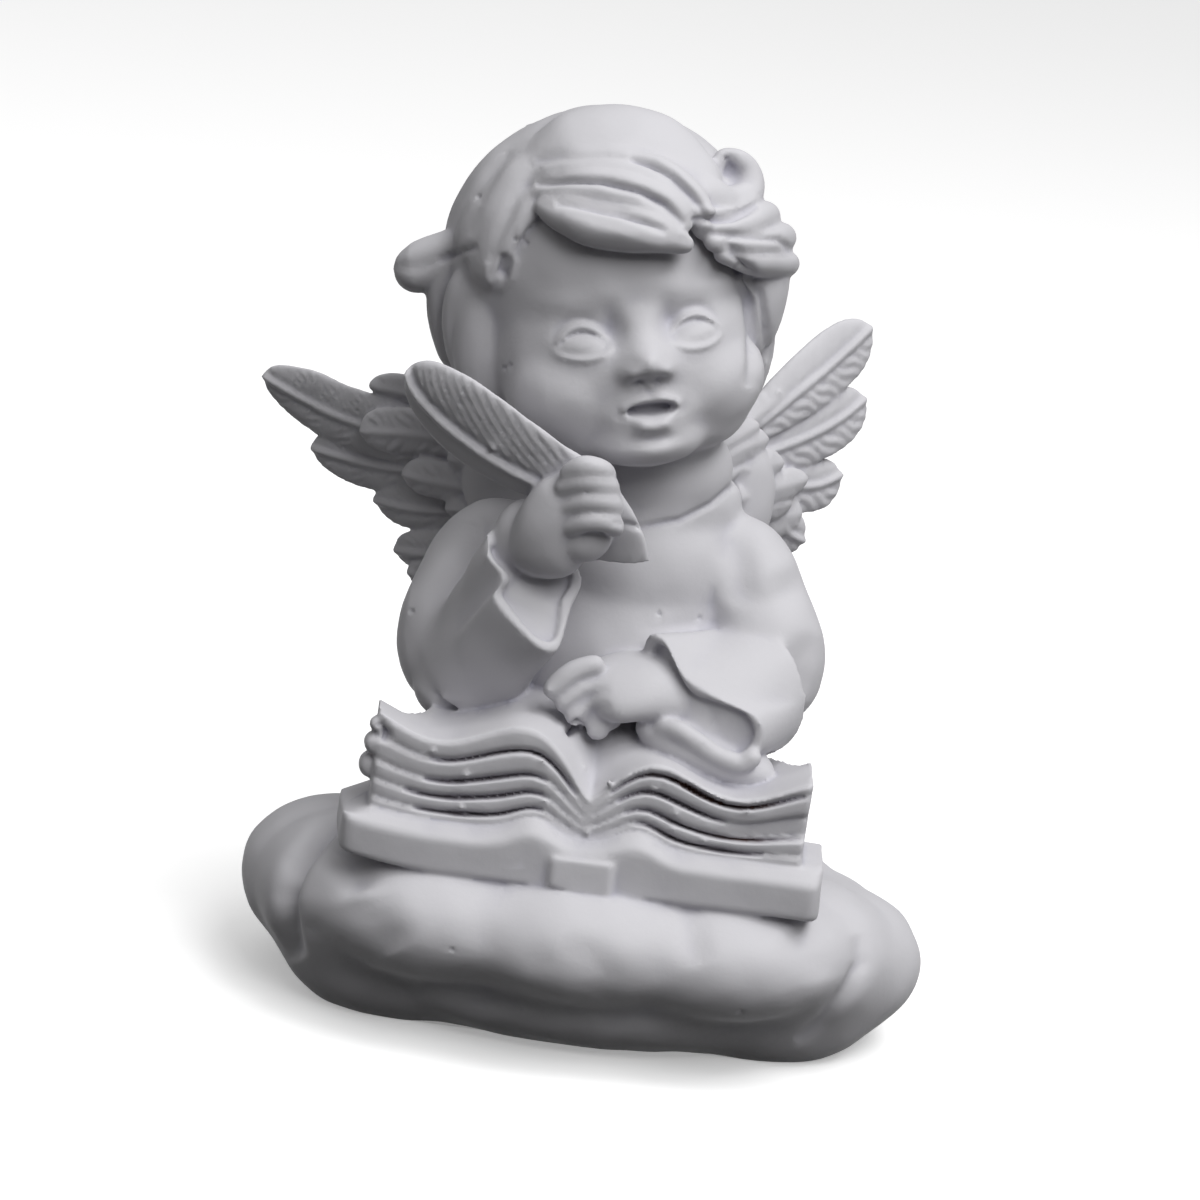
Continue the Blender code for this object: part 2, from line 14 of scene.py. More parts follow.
import bpy
import numpy as np
from mathutils import Matrix, Vector

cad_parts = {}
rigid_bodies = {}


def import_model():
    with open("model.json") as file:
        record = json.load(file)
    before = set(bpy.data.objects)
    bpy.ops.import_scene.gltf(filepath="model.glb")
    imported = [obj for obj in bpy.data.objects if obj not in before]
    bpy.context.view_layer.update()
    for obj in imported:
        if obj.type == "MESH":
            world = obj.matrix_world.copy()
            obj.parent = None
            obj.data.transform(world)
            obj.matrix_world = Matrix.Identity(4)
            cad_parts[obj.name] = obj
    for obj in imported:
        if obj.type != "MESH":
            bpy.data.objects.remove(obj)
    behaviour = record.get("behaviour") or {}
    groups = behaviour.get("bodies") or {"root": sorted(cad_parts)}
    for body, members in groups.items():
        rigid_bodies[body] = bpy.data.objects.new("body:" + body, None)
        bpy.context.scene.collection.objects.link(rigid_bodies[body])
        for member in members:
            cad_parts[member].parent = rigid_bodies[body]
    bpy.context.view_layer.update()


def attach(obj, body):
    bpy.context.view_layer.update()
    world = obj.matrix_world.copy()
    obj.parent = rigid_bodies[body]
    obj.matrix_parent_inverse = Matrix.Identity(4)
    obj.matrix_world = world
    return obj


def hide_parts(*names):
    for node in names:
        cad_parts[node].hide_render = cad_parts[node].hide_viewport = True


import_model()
started = time.time()

# %% [markdown]
# ## Units and small helpers
# Sizes are easier to think about in millimetres, so the clay is worked at one unit to the millimetre and
# the finished mesh is scaled to metres. An operator acts on all that is selected, so `alone` selects one
# thing only.

# %% Helpers for selecting and for modifiers
METRES_PER_MM = 0.001


def alone(thing):
    """Select this object and nothing else."""
    bpy.ops.object.select_all(action="DESELECT")
    thing.select_set(True)
    bpy.context.view_layer.objects.active = thing


def shape_with(thing, kind, **settings):
    """Add a modifier with these settings and apply it."""
    alone(thing)
    modifier = thing.modifiers.new(kind.title(), kind)
    for name, value in settings.items():
        setattr(modifier, name, value)
    bpy.ops.object.modifier_apply(modifier=modifier.name)


def remesh(thing, voxel):
    """Put one new skin of square faces of this size round everything."""
    shape_with(thing, "REMESH", mode="VOXEL", voxel_size=voxel)


def smooth(thing, rounds, **settings):
    """Move each point half the way to its neighbours' mean, this many times."""
    shape_with(thing, "SMOOTH", factor=0.5, iterations=rounds, **settings)


def join_all(name, things):
    """Join these objects into one with this name."""
    bpy.ops.object.select_all(action="DESELECT")
    for thing in things:
        thing.select_set(True)
    bpy.context.view_layer.objects.active = things[0]
    bpy.ops.object.join()
    things[0].name = name
    return things[0]


# %% Helpers for turning, and for the mesh's points as arrays
def turned(x=0.0, y=0.0, z=0.0):
    """A rotation by these degrees about X, then Y, then Z."""
    about = [Matrix.Rotation(math.radians(angle), 4, axis) for angle, axis in ((z, "Z"), (y, "Y"), (x, "X"))]
    return about[0] @ about[1] @ about[2]


def points_of(thing):
    """All the mesh's points as an array."""
    flat = np.empty(len(thing.data.vertices) * 3)
    thing.data.vertices.foreach_get("co", flat)
    return flat.reshape(-1, 3)


def normals_of(thing):
    """The surface direction at each of the mesh's points."""
    flat = np.empty(len(thing.data.vertices) * 3)
    thing.data.vertices.foreach_get("normal", flat)
    return flat.reshape(-1, 3)


def move_points(thing, points):
    """Give the mesh these points."""
    thing.data.vertices.foreach_set("co", points.ravel())
    thing.data.update()


def unit(vectors):
    """Vectors of length one."""
    return vectors / np.maximum(np.linalg.norm(vectors, axis=-1, keepdims=True), 1e-9)


def clamp(values):
    """The values, held between 0 and 1."""
    return np.clip(values, 0.0, 1.0)


def bell(values):
    """1 at zero, falling softly to nearly nothing at 2."""
    return np.exp(-(values ** 2))


def seconds():
    """The working time so far."""
    return f"{time.time() - started:.1f} s"


# %% [markdown]
# ## The drawing sheet
# The photograph looks slightly down on the figurine, and it is tilted a little to the side. A sculptor who
# works from one picture holds a sheet at that angle. Here the sheet is 1200 by 1200 with its corner at the
# upper left, and `at` finds the point behind a place on the sheet that lies at a given depth Y. `sheet`
# goes the other way.

# %% The sheet and the sight line
LOOK_DOWN = math.radians(13.0)
SIDE_TILT = math.radians(7.5)
SIGHT_DISTANCE = 400.0
SHEET = 1200
SHEET_PER_MM = 10.35
AIM = np.array((-2.2, 0.0, 40.3))
NEARER = np.array((0.0, -math.cos(LOOK_DOWN), math.sin(LOOK_DOWN)))
LEVEL = np.array((1.0, 0.0, 0.0))
UPRIGHT = np.cross(NEARER, LEVEL)
ACROSS = LEVEL * math.cos(SIDE_TILT) + UPRIGHT * math.sin(SIDE_TILT)
UPWARD = UPRIGHT * math.cos(SIDE_TILT) - LEVEL * math.sin(SIDE_TILT)
EYE_POINT = AIM + NEARER * SIGHT_DISTANCE
ZOOM = SHEET_PER_MM * SIGHT_DISTANCE


def sight(across, down):
    """The direction from the eye through this place on the sheet."""
    return -NEARER * ZOOM + ACROSS * (across - SHEET / 2) - UPWARD * (down - SHEET / 2)


def at(across, down, y):
    """The point at depth y that lies behind this place on the sheet."""
    line = sight(across, down)
    return EYE_POINT + line * ((y - EYE_POINT[1]) / line[1])


def sheet(points):
    """The places of these points on the sheet."""
    away = points - EYE_POINT
    depth = -(away @ NEARER)
    return SHEET / 2 + ZOOM * (away @ ACROSS) / depth, SHEET / 2 - ZOOM * (away @ UPWARD) / depth


def drawn(*rows):
    """Rows of sheet across, down, depth and other numbers, turned into rows that start with a point."""
    return [(*at(*row[:3]), *row[3:]) for row in rows]


# %% [markdown]
# ## The head's own frame
# The child's head turns towards the viewer's right, its crown leans to the left, and it looks up a little.
# Head forms are easier to place in the head's own frame, where X is its left-right, -Y its front and Z its
# height.

# %% Frames
WORLD = Matrix()
HEAD = Matrix.Translation((-4.4, 0.4, 69.3)) @ turned(-4.0, -12.0, 11.5)
CRANIUM = np.array((0.0, 1.5, 2.5))


def into(points, place):
    """Points of the world, seen in this frame."""
    inverse = np.array(place.inverted())
    return points @ inverse[:3, :3].T + inverse[:3, 3]


def out_of(points, place):
    """Points of this frame, seen in the world."""
    forward = np.array(place)
    return points @ forward[:3, :3].T + forward[:3, 3]


# %% [markdown]
# ## Lumps
# Cloud, trunk and head start as egg-shaped lumps. Each is a UV sphere, added at its size and place. They
# overlap freely, because a voxel remesh later keeps only the skin round them all.

# %% One lump
clay = []


def lump(centre, radii, turn=(0, 0, 0), place=WORLD, fine=1.0):
    """An egg of clay with these radii."""
    bpy.ops.mesh.primitive_uv_sphere_add(segments=int(40 * fine), ring_count=int(28 * fine), radius=1.0)
    egg = bpy.context.object
    egg.data.transform(place @ Matrix.Translation(centre) @ turned(*turn) @ Matrix.Diagonal((*radii, 1.0)))
    clay.append(egg)


# %% [markdown]
# ## Swept forms
# Arms, fingers, locks and feathers are all a cross-section swept along a smooth run. By hand that would be
# a curve with a bevel, but the carved grooves have to follow the run, so here the rings of points are laid
# by a function. `relief` gives the height of the carving at each place across and along the upper side.

# %% Smooth runs
def smooth_run(rows, step):
    """Rows along a Catmull-Rom curve through these rows, `step` apart, and how far along each one is."""
    rows = np.array(rows, float)
    padded = np.vstack([rows[:1], rows, rows[-1:]])
    fine = []
    for before, start, end, after in zip(padded, padded[1:], padded[2:], padded[3:]):
        t = np.linspace(0.0, 1.0, 24, endpoint=False)[:, None]
        bend = (2 * before - 5 * start + 4 * end - after) * t ** 2
        twist = (3 * start - before - 3 * end + after) * t ** 3
        fine.append(0.5 * (2 * start + (end - before) * t + bend + twist))
    fine = np.vstack(fine + [rows[-1:]])
    gaps = np.linalg.norm(np.diff(fine[:, :3], axis=0), axis=1)
    travelled = np.concatenate([[0.0], np.cumsum(gaps)])
    count = max(int(round(travelled[-1] / step)), 6)
    wanted = np.linspace(0.0, travelled[-1], count + 1)
    run = np.column_stack([np.interp(wanted, travelled, column) for column in fine.T])
    return run, wanted


# %% A closed skin over rings, and a swept form
def skin(rings):
    """One closed mesh over rings that all have the same number of points."""
    count, sides = rings.shape[:2]
    near = np.arange(count - 1)[:, None] * sides + np.arange(sides)[None, :]
    beside = np.arange(count - 1)[:, None] * sides + (np.arange(sides)[None, :] + 1) % sides
    quads = np.stack([near, beside, beside + sides, near + sides], axis=-1).reshape(-1, 4)
    first = list(range(sides))[::-1]
    last = list(range((count - 1) * sides, count * sides))
    mesh = bpy.data.meshes.new("skin")
    mesh.from_pydata(rings.reshape(-1, 3).tolist(), [], quads.tolist() + [first, last])
    thing = bpy.data.objects.new("skin", mesh)
    bpy.context.collection.objects.link(thing)
    clay.append(thing)


def sweep(rows, facing=(0, -1, 0), place=WORLD, relief=None, step=0.3, across=22, ends=(True, True)):
    """Sweep an oval along rows of x, y, z, half width and half thickness.

    The width lies across the run, square to `facing`. A facing of None faces out from the cranium. `ends`
    says which ends are rounded.
    """
    run, travelled = smooth_run(rows, step)
    centres = run[:, :3]
    along = unit(np.gradient(centres, axis=0))
    outward = centres - CRANIUM if facing is None else np.tile(np.array(facing, float), (len(run), 1))
    sideways = unit(np.cross(along, outward))
    lifted = np.cross(sideways, along)
    half_width = run[:, 3].copy()
    half_thick = run[:, 4].copy()
    reach = np.minimum(half_width, half_thick) * 1.1
    for rounded, distance in zip(ends, (travelled, travelled[-1] - travelled)):
        if rounded:
            short = clamp((reach - distance) / reach)
            shrink = np.sqrt(np.clip(1.0 - short ** 2, 0.003, 1.0))
            half_width *= shrink
            half_thick *= shrink
    upper = np.cos(np.linspace(0.0, math.pi, across))
    lower = -np.cos(np.linspace(0.0, math.pi, 12))[1:-1]
    places = np.concatenate([upper, lower])
    side = np.concatenate([np.ones(across), -np.ones(10)])
    arch = np.sqrt(1.0 - places ** 2)
    height = half_thick[:, None] * (arch * side)[None, :]
    if relief is not None:
        carved = relief(upper[None, :], travelled[:, None], half_width[:, None])
        fade = clamp(half_thick / (0.6 * half_thick.max()))[:, None]
        height[:, :across] += carved * np.sqrt(arch[:across])[None, :] * fade
    rings = (
        centres[:, None, :]
        + sideways[:, None, :] * (half_width[:, None] * places[None, :])[:, :, None]
        + lifted[:, None, :] * height[:, :, None]
    )
    skin(out_of(rings.reshape(-1, 3), place).reshape(rings.shape))


# %% [markdown]
# ## The cloud
# A flat puffy cloud: one low cushion, and fat lobes that stand out round its edge. The lobes are different
# sizes, as the mould has them, and the back ones are guessed to match.

# %% Cloud lumps
CLOUD_VOXEL = 0.6
CLOUD_LUMPS = (
    ((0, -1.0, 5.5), (28.5, 20.2, 7.5), 0), ((0, -1, 10.0), (25.0, 20.0, 9.5), 0),
    ((-23.3, 0.5, 9.0), (10.8, 13.0, 7.9), 6), ((23.0, -0.7, 7.5), (11.0, 13.0, 7.4), -6),
    ((-20.6, -7.0, 10.2), (11.0, 12.3, 8.0), 0), ((-13.0, -12.8, 12.1), (14.0, 12.9, 7.0), 0),
    ((0.0, -14.6, 12.2), (15.0, 13.0, 6.9), 0), ((12.5, -13.0, 11.9), (14.0, 12.9, 6.9), 0),
    ((19.8, -7.2, 9.8), (11.0, 11.5, 7.6), 0), ((-17.0, -5.2, 5.6), (12.6, 12.6, 7.6), 0),
    ((18.2, -4.2, 5.4), (12.4, 11.6, 7.4), 0),
)
for centre, radii, tip in CLOUD_LUMPS:
    lump(centre, radii, turn=(0, tip, 0))
for side in (-1, 1):
    lump((side * 13.0, 11.5, 8.4), (13.5, 12.0, 8.6))
    lump((side * 23.6, 6.5, 7.4), (7.6, 9.0, 6.8))
print("cloud:", len(clay), "lumps")
puff = join_all("cloud", clay)
remesh(puff, CLOUD_VOXEL)
smooth(puff, 55)
clay = [puff]

# %% [markdown]
# ## Trunk and arms
# Under the robe there is only a soft egg of a body. The sleeves are swept from shoulder to elbow; their
# bell mouths come later, with the crisp forms.

# %% Trunk, neck and upper sleeves
SLEEVE_RADIUS = 6.4


def body():
    """The robed trunk, the neck, the shoulder blades, and the sleeves down to the elbows."""
    lump((-0.5, 3.0, 35.0), (14.0, 10.6, 19.0))
    lump((-0.5, 2.5, 43.5), (12.5, 9.2, 9.5), turn=(0, -4, 10))
    lump((0.5, 3.5, 26.0), (15.5, 11.5, 12.0))
    lump((0.6, -0.4, 36.5), (12.0, 9.6, 10.5))
    lump((0.8, 0.5, 44.4), (10.6, 9.2, 8.6))
    lump((0.6, 0.9, 50.0), (9.8, 7.8, 4.2), turn=(0, -10, 10))
    sweep([(0.2, 1.2, 48.0, 8.0, 7.2), (-0.4, 0.4, 58.0, 7.4, 7.2)])
    lump((1.2, -1.6, 54.0), (7.8, 5.6, 5.6), turn=(0, -10, 10))
    lump((-9.0, 9.0, 45.5), (5.0, 4.2, 8.0))
    lump((-12.0, 9.4, 49.0), (5.4, 2.8, 6.0))
    lump((8.4, 9.8, 49.0), (5.2, 3.0, 7.6), turn=(0, 12, 0))
    sweep([
        (-9.0, 2.5, 47.2, 6.0, 5.6),
        (-12.8, 0.0, 42.0, 6.5, 6.0),
        (-15.0, -3.6, 34.5, SLEEVE_RADIUS + 0.2, 6.4),
        (-13.2, -7.0, 32.3, SLEEVE_RADIUS + 0.1, 6.2),
    ])
    sweep([
        (8.0, 3.0, 49.0, 5.2, 5.2),
        (11.2, 0.0, 44.0, 5.5, 5.8),
        (14.1, -3.6, 36.8, SLEEVE_RADIUS, 6.4),
        (12.4, -7.4, 34.2, SLEEVE_RADIUS - 0.1, 6.2),
    ])


body()
print("trunk and sleeves:", len(clay) - 1, "forms")

# %% [markdown]
# ## The head as a mass
# A small child's head is a big round cranium over a short face: full cheeks, a small chin and a high
# bulging forehead. The features are carved after these lumps are one surface.

# %% Cranium, cheeks, chin and forehead
ROUGH_VOXEL = 0.42


def head():
    """The bare head."""
    lump((0, 1.5, 3.0), (14.4, 14.4, 14.0), place=HEAD)
    lump((0, -1.8, -3.5), (13.2, 12.6, 10.6), place=HEAD)
    for side in (-1, 1):
        lump((side * 6.4, -7.2, -6.8), (6.0, 5.8, 5.4), place=HEAD)
        lump((side * 5.4, -5.8, -9.6), (5.6, 5.4, 4.4), place=HEAD)
    lump((0, -9.7, -11.2), (5.6, 4.0, 3.1), place=HEAD)
    lump((0, -10.2, -8.2), (6.2, 3.9, 3.6), place=HEAD)
    lump((0, -5.0, 4.2), (11.0, 8.0, 8.4), place=HEAD)


head()
figure = join_all("cherub", clay)
remesh(figure, ROUGH_VOXEL)
smooth(figure, 24)
print("soft masses:", len(figure.data.vertices), "points", seconds())

# %% [markdown]
# ## Strokes
# A stroke is one pull of a modelling tool. It is a line on the drawing sheet, with a width on the sheet and
# a height in millimetres, and it moves the surface that faces the viewer along its own direction. A stroke
# on the back is drawn in millimetres of X and Z instead.

# %% The stroke tool
def distance_to(line, across, down):
    """How far these places are from a line of points."""
    return nearest_on(line, across, down)[0]


def nearest_on(line, across, down):
    """How far these places are from a line, and how far along it the nearest point lies, from 0 to 1."""
    nearest = np.full(across.shape, 1e9)
    share = np.zeros(across.shape)
    for index, ((x0, z0), (x1, z1)) in enumerate(zip(line, line[1:])):
        run = (x1 - x0) ** 2 + (z1 - z0) ** 2
        t = clamp(((across - x0) * (x1 - x0) + (down - z0) * (z1 - z0)) / run)
        gap = (across - x0 - t * (x1 - x0)) ** 2 + (down - z0 - t * (z1 - z0)) ** 2
        closer = gap < nearest
        nearest = np.where(closer, gap, nearest)
        share = np.where(closer, (index + t) / (len(line) - 1), share)
    return np.sqrt(nearest), share


def tapered(share):
    """1 along a line, falling to 0 towards both its ends."""
    return np.sqrt(clamp(np.minimum(share, 1.0 - share) / 0.3))


def strokes(front, back=(), behind=99.0, along=None):
    """Press strokes of height, width and line into the figure, up to a depth Y.

    They move the skin along its own direction, or along the one given. Long ones fade out at their ends.
    """
    points = points_of(figure)
    normals = normals_of(figure)
    across, down = sheet(points)
    faces_viewer = clamp((normals @ NEARER) / 0.3)
    in_reach = clamp(behind - points[:, 1])
    push = np.zeros(len(points))
    for height, width, *line in front:
        line = line if len(line) > 1 else [line[0], (line[0][0] + 0.5, line[0][1])]
        away, share = nearest_on(line, across, down)
        fade = tapered(share) if len(line) > 2 else 1.0
        push += height * fade * bell(away / width) * faces_viewer * in_reach
    faces_back = clamp(normals[:, 1] / 0.3)
    for height, width, *line in back:
        away = distance_to(line, points[:, 0], points[:, 2])
        push += height * bell(away / width) * faces_back
    move_points(figure, points + (normals if along is None else along) * push[:, None])


# %% [markdown]
# ## Folds of the robe and creases of the cloud
# The robe is thin cloth, pulled over the arms: a long fold falls from the left shoulder to the elbow, and a
# deep one opens at the right armpit. The cloud's lobes meet in soft creases, and one of them ends in a
# little swirl.

# %% Robe strokes
strokes([
    (-1.0, 9, (489, 518), (477, 548), (462, 572), (440, 598), (424, 626)),
    (0.5, 14, (470, 515), (450, 556), (426, 588), (406, 620)),
    (-0.55, 13, (738, 536), (742, 562), (745, 590), (752, 612)),
    (0.3, 7, (722, 556), (720, 582), (723, 602), (734, 616)),
    (-0.4, 12, (756, 608), (776, 598), (802, 580)),
    (0.25, 12, (752, 580), (792, 560)),
    (-0.3, 7, (640, 630), (684, 624), (730, 622), (764, 612)),
    (-0.7, 15, (814, 636), (803, 665), (795, 696)),
], back=[
    (-0.9, 1.6, (-3.0, 46.0), (-5.5, 36.0), (-7.5, 24.0)),
    (-0.8, 1.6, (3.0, 45.0), (4.5, 34.0), (7.5, 23.0)),
    (0.5, 1.8, (0.0, 44.0), (0.0, 34.0), (0.0, 24.0)),
    (-0.6, 1.4, (11.0, 40.0), (9.0, 31.0), (12.0, 23.0)),
    (-0.6, 1.4, (-11.0, 40.0), (-10.0, 31.0), (-12.0, 23.0)),
], behind=9.0)
print("robe carved", seconds())

# %% Cloud strokes
strokes([
    (-2.2, 9, (345, 812), (318, 835), (297, 865), (286, 895), (287, 930), (298, 960)),
    (0.5, 14, (330, 850), (308, 885), (305, 925)),
    (-0.8, 19, (350, 845), (354, 870), (362, 892)),
    (-0.7, 24, (366, 900), (376, 930), (390, 955)),
    (-0.4, 17, (560, 940), (592, 956), (606, 976), (594, 998)),
    (0.2, 12, (520, 970), (556, 984), (574, 1000)),
    (0.2, 18, (436, 940), (490, 962), (530, 985)),
    (-0.25, 16, (420, 980), (470, 1000), (520, 1010)),
    (-0.4, 16, (688, 905), (692, 935), (700, 965)),
    (-0.7, 7, (858, 935), (862, 962), (848, 990), (824, 1020), (796, 1042)),
    (-0.5, 22, (800, 925), (812, 950), (820, 980)),
], back=[
    (-1.8, 2.2, (0.0, 19.0), (1.0, 8.0), (0.0, 0.0)),
    (-1.3, 1.8, (-19.5, 16.0), (-20.5, 8.0), (-19.0, 1.0)),
    (-1.3, 1.8, (19.5, 16.0), (20.5, 8.0), (19.0, 1.0)),
    (-0.8, 1.5, (-10.0, 9.0), (-6.0, 6.0), (-2.0, 7.0)),
    (-0.8, 1.5, (6.0, 10.0), (10.0, 7.0), (14.0, 8.5)),
], behind=40.0)
print("cloud carved", seconds())

# %% [markdown]
# ## Carving the face
# The face is nearly a relief: seen from the front, each point has one depth. So its features are a sum of
# soft hills and dents pressed into the surface along the head's own Y axis. It is a doll's face,
# blank-eyed, with thick lid ridges, a button nose, round cheeks and parted lips.

# %% Hills, dents and ridges
def hill(x, z, at_x, at_z, wide, tall):
    """A soft round hill, 1 at its top."""
    return np.exp(-((x - at_x) / wide) ** 2 - ((z - at_z) / tall) ** 2)


def ridge(x, z, width, *line):
    """A soft ridge, 1 along the line."""
    return bell(distance_to(line, x, z) / width)


def arch(middle, bottom, half_width, height):
    """Points over an eyelid, from its left corner to its right."""
    x = np.linspace(-1.0, 1.0, 12)
    return list(zip(middle + half_width * x, bottom + height * (1.0 - np.abs(x) ** 2.2)))


# %% The face's relief
EYES = ((-1, -5.5, -2.0), (1, 5.2, -2.0))
EYE_HALF_WIDTH = 2.75
NOSE_Z = -3.8
MOUTH_Z = -8.5


def lid(x, z, eye_x, corner_z, height, width):
    """An eyelid's rim, which fades at the corners of the eye."""
    fade = clamp((EYE_HALF_WIDTH + 0.2 - np.abs(x - eye_x)) / 0.7)
    return fade * ridge(x, z, width, *arch(eye_x, corner_z, EYE_HALF_WIDTH, height))


def nose_tip(x, z):
    """A button nose that rises slowly from above and falls fast below."""
    up = z - NOSE_Z
    fall = np.where(up > 0.0, bell(up / 1.6), np.exp(-(np.abs(up) / 1.75) ** 3))
    return fall * bell(x / 1.95)


def mouth_gap(x, z):
    """The opening between the lips: 1 inside a lens shape, with steep edges."""
    half_height = 0.56 * np.sqrt(clamp(1.0 - (x / 2.4) ** 2))
    edge = np.abs(z - MOUTH_Z - 0.1) - half_height
    return clamp(half_height / 0.3) / (1.0 + np.exp(np.clip(edge / 0.1, -30.0, 30.0)))


def face_relief(x, z):
    """How far the face stands out at x, z of the head's frame, in mm."""
    out = 0.2 * np.clip(-2.5 - z, 0.0, 9.5) * np.exp(-((x / 8.5) ** 4))
    for side, eye_x, eye_z in EYES:
        corner_z = eye_z - 0.45
        for amount, *hill_place in (
            (-1.05, eye_x - side * 0.9, eye_z + 0.9, 2.7, 1.9), (-1.0, side * 2.6, -0.9, 1.1, 1.8),
            (0.45, side * 6.6, 1.7, 3.0, 1.2), (0.35, side * 2.8, 2.4, 1.8, 1.2),
            (0.85, eye_x, eye_z, 2.3, 1.4),
        ):
            out += amount * hill(x, z, *hill_place)
        for amount, raised, height, width in (
            (0.5, 0.0, 2.05, 0.28), (0.34, 0.0, -0.95, 0.26), (-0.36, 0.0, 1.4, 0.24),
            (-0.12, 0.0, -0.35, 0.24), (-0.22, 0.7, 2.1, 0.40),
        ):
            out += amount * lid(x, z, eye_x, corner_z + raised, height, width)
        for amount, *hill_place in (
            (0.9, side * 1.75, NOSE_Z - 1.05, 0.85, 0.85), (-1.0, side * 0.95, NOSE_Z - 1.9, 0.55, 0.4),
            (0.35, side * 6.0, -6.4, 3.2, 2.6), (-0.25, side * 2.9, MOUTH_Z, 0.6, 0.7),
        ):
            out += amount * hill(x, z, *hill_place)
    out += 0.15 * ridge(x, z, 1.6, (0, -1.0), (0, -3.4))
    out += 2.5 * nose_tip(x, z)
    out += 0.35 * hill(x, z, 0, MOUTH_Z, 4.6, 2.6)
    out -= 0.2 * ridge(x, z, 0.45, (0, -6.3), (0, -7.2))
    lip = ((-2.5, 0.4), (-1.3, 1.0), (-0.5, 1.15), (0, 1.05), (0.5, 1.15), (1.3, 1.0), (2.5, 0.4))
    out += 0.4 * ridge(x, z, 0.36, *[(lip_x, MOUTH_Z + lip_z) for lip_x, lip_z in lip])
    out -= 2.3 * mouth_gap(x, z)
    out += 0.8 * ridge(x, z, 0.7, (-1.0, MOUTH_Z - 1.3), (0, MOUTH_Z - 1.45), (1.0, MOUTH_Z - 1.3))
    out -= 0.5 * hill(x, z, 0, MOUTH_Z - 2.7, 2.2, 0.6)
    out += 0.45 * hill(x, z, 0, -12.6, 2.6, 1.3)
    return out


def carve_face():
    """Press the relief into the front of the head."""
    local = into(points_of(figure), HEAD)
    x, y, z = local.T
    inside = clamp((-6.0 - y) / 3.0) * clamp((11.5 - np.abs(x)) / 2.0)
    inside *= clamp((z + 15.0) / 1.5) * clamp((9.0 - z) / 2.0)
    hit = inside > 0.0
    local[hit, 1] -= face_relief(x[hit], z[hit]) * inside[hit]
    move_points(figure, out_of(local, HEAD))
    print("face:", int(hit.sum()), "points carved")


FACE_VOXEL = 0.24
remesh(figure, FACE_VOXEL)
carve_face()
soft_figure = figure
clay = []

# %% [markdown]
# ## Hair
# The hair is a cap with locks laid over it. From the parting on the left of the forehead, a big smooth lock
# sweeps over the crown and hooks up at the right, three forelocks lie under it, and curls stand out at both
# temples. Each lock is a sweep that lies flat to the cranium. Some have a few strands grooved along them.
# The back is guessed: plain wavy locks that fall from the crown.

# %% Strands and locks
def strands(count, depth, wander=0.25):
    """Rounded strands with sharp valleys between them."""
    def relief(u, s, half_width):
        phase = math.pi * count * (u + 1.0) / 2.0 + wander * np.sin(s / 2.6)
        return -depth * (1.0 - np.abs(np.sin(phase)) ** 0.7)
    return relief


def lock(*rows, relief=None):
    """A lock of hair that lies flat to the cranium."""
    sweep(rows, facing=None, place=HEAD, relief=relief, step=0.28, across=26)


def hair_cap():
    """The mass under the locks."""
    lump((-0.4, 3.0, 4.2), (15.3, 14.6, 14.1), place=HEAD, fine=1.6)
    lump((0, 8.0, -2.5), (13.0, 8.2, 10.8), place=HEAD, fine=1.4)


hair_cap()

# %% The crown lock and the hook curl
def crown():
    """The crown lock, and the forelocks under it."""
    lock((-7.8, -2.4, 14.3, 2.8, 0.8), (-3.4, -4.0, 16.0, 4.8, 1.7), (2.4, -5.2, 15.6, 5.2, 2.0),
         (6.1, -7.8, 12.3, 4.2, 1.9), (8.4, -9.4, 9.6, 2.6, 1.6))
    lock((-6.4, 0.6, 15.2, 3.0, 1.3), (-1.6, 0.8, 16.6, 4.8, 1.9), (3.4, 0.0, 15.8, 4.8, 1.9),
         (6.9, -4.0, 12.8, 3.8, 1.7), (9.2, -6.6, 9.7, 2.4, 1.4))
    lock((-8.4, -5.8, 12.9, 1.2, 0.4), (-3.8, -8.5, 14.0, 1.8, 1.3), (0.4, -9.8, 13.5, 1.9, 1.6),
         (3.8, -11.0, 12.1, 1.8, 1.8), (6.2, -12.0, 9.6, 1.5, 1.7), (7.0, -12.9, 7.0, 0.7, 0.9))
    lock((-8.2, -7.2, 12.0, 1.0, 0.4), (-4.4, -10.4, 12.2, 1.6, 1.4), (-0.4, -12.0, 11.4, 1.75, 1.8),
         (3.0, -13.0, 9.9, 1.6, 1.7), (5.4, -13.8, 7.6, 0.8, 1.0))
    lock((-7.8, -8.6, 11.2, 0.9, 0.5), (-6.0, -11.4, 10.0, 1.7, 1.4), (-2.9, -13.3, 8.7, 2.1, 1.9),
         (1.4, -14.2, 7.7, 1.9, 1.9), (5.4, -14.0, 5.9, 0.7, 1.1), relief=strands(2, 0.22))


def hook_curl():
    """The curl that hooks up at the right of the crown, with a thinner one under it."""
    lock((4.5, -8.4, 12.8, 2.2, 1.2), (7.8, -9.5, 10.0, 2.2, 1.8), (10.0, -8.0, 8.8, 1.9, 1.8),
         (12.1, -5.6, 9.2, 1.6, 1.9), (12.5, -4.6, 11.0, 1.4, 1.8), (11.4, -4.8, 12.4, 1.25, 1.6),
         (9.5, -5.6, 12.9, 1.0, 1.2))
    lump((9.3, -5.2, 10.6), (1.9, 1.7, 1.9), place=HEAD, fine=0.6)
    lock((4.9, -11.9, 8.9, 0.9, 0.9), (8.5, -10.9, 7.6, 1.2, 1.2), (11.7, -7.4, 7.7, 1.0, 1.0))


crown()
hook_curl()
print("crown:", len(clay), "forms")

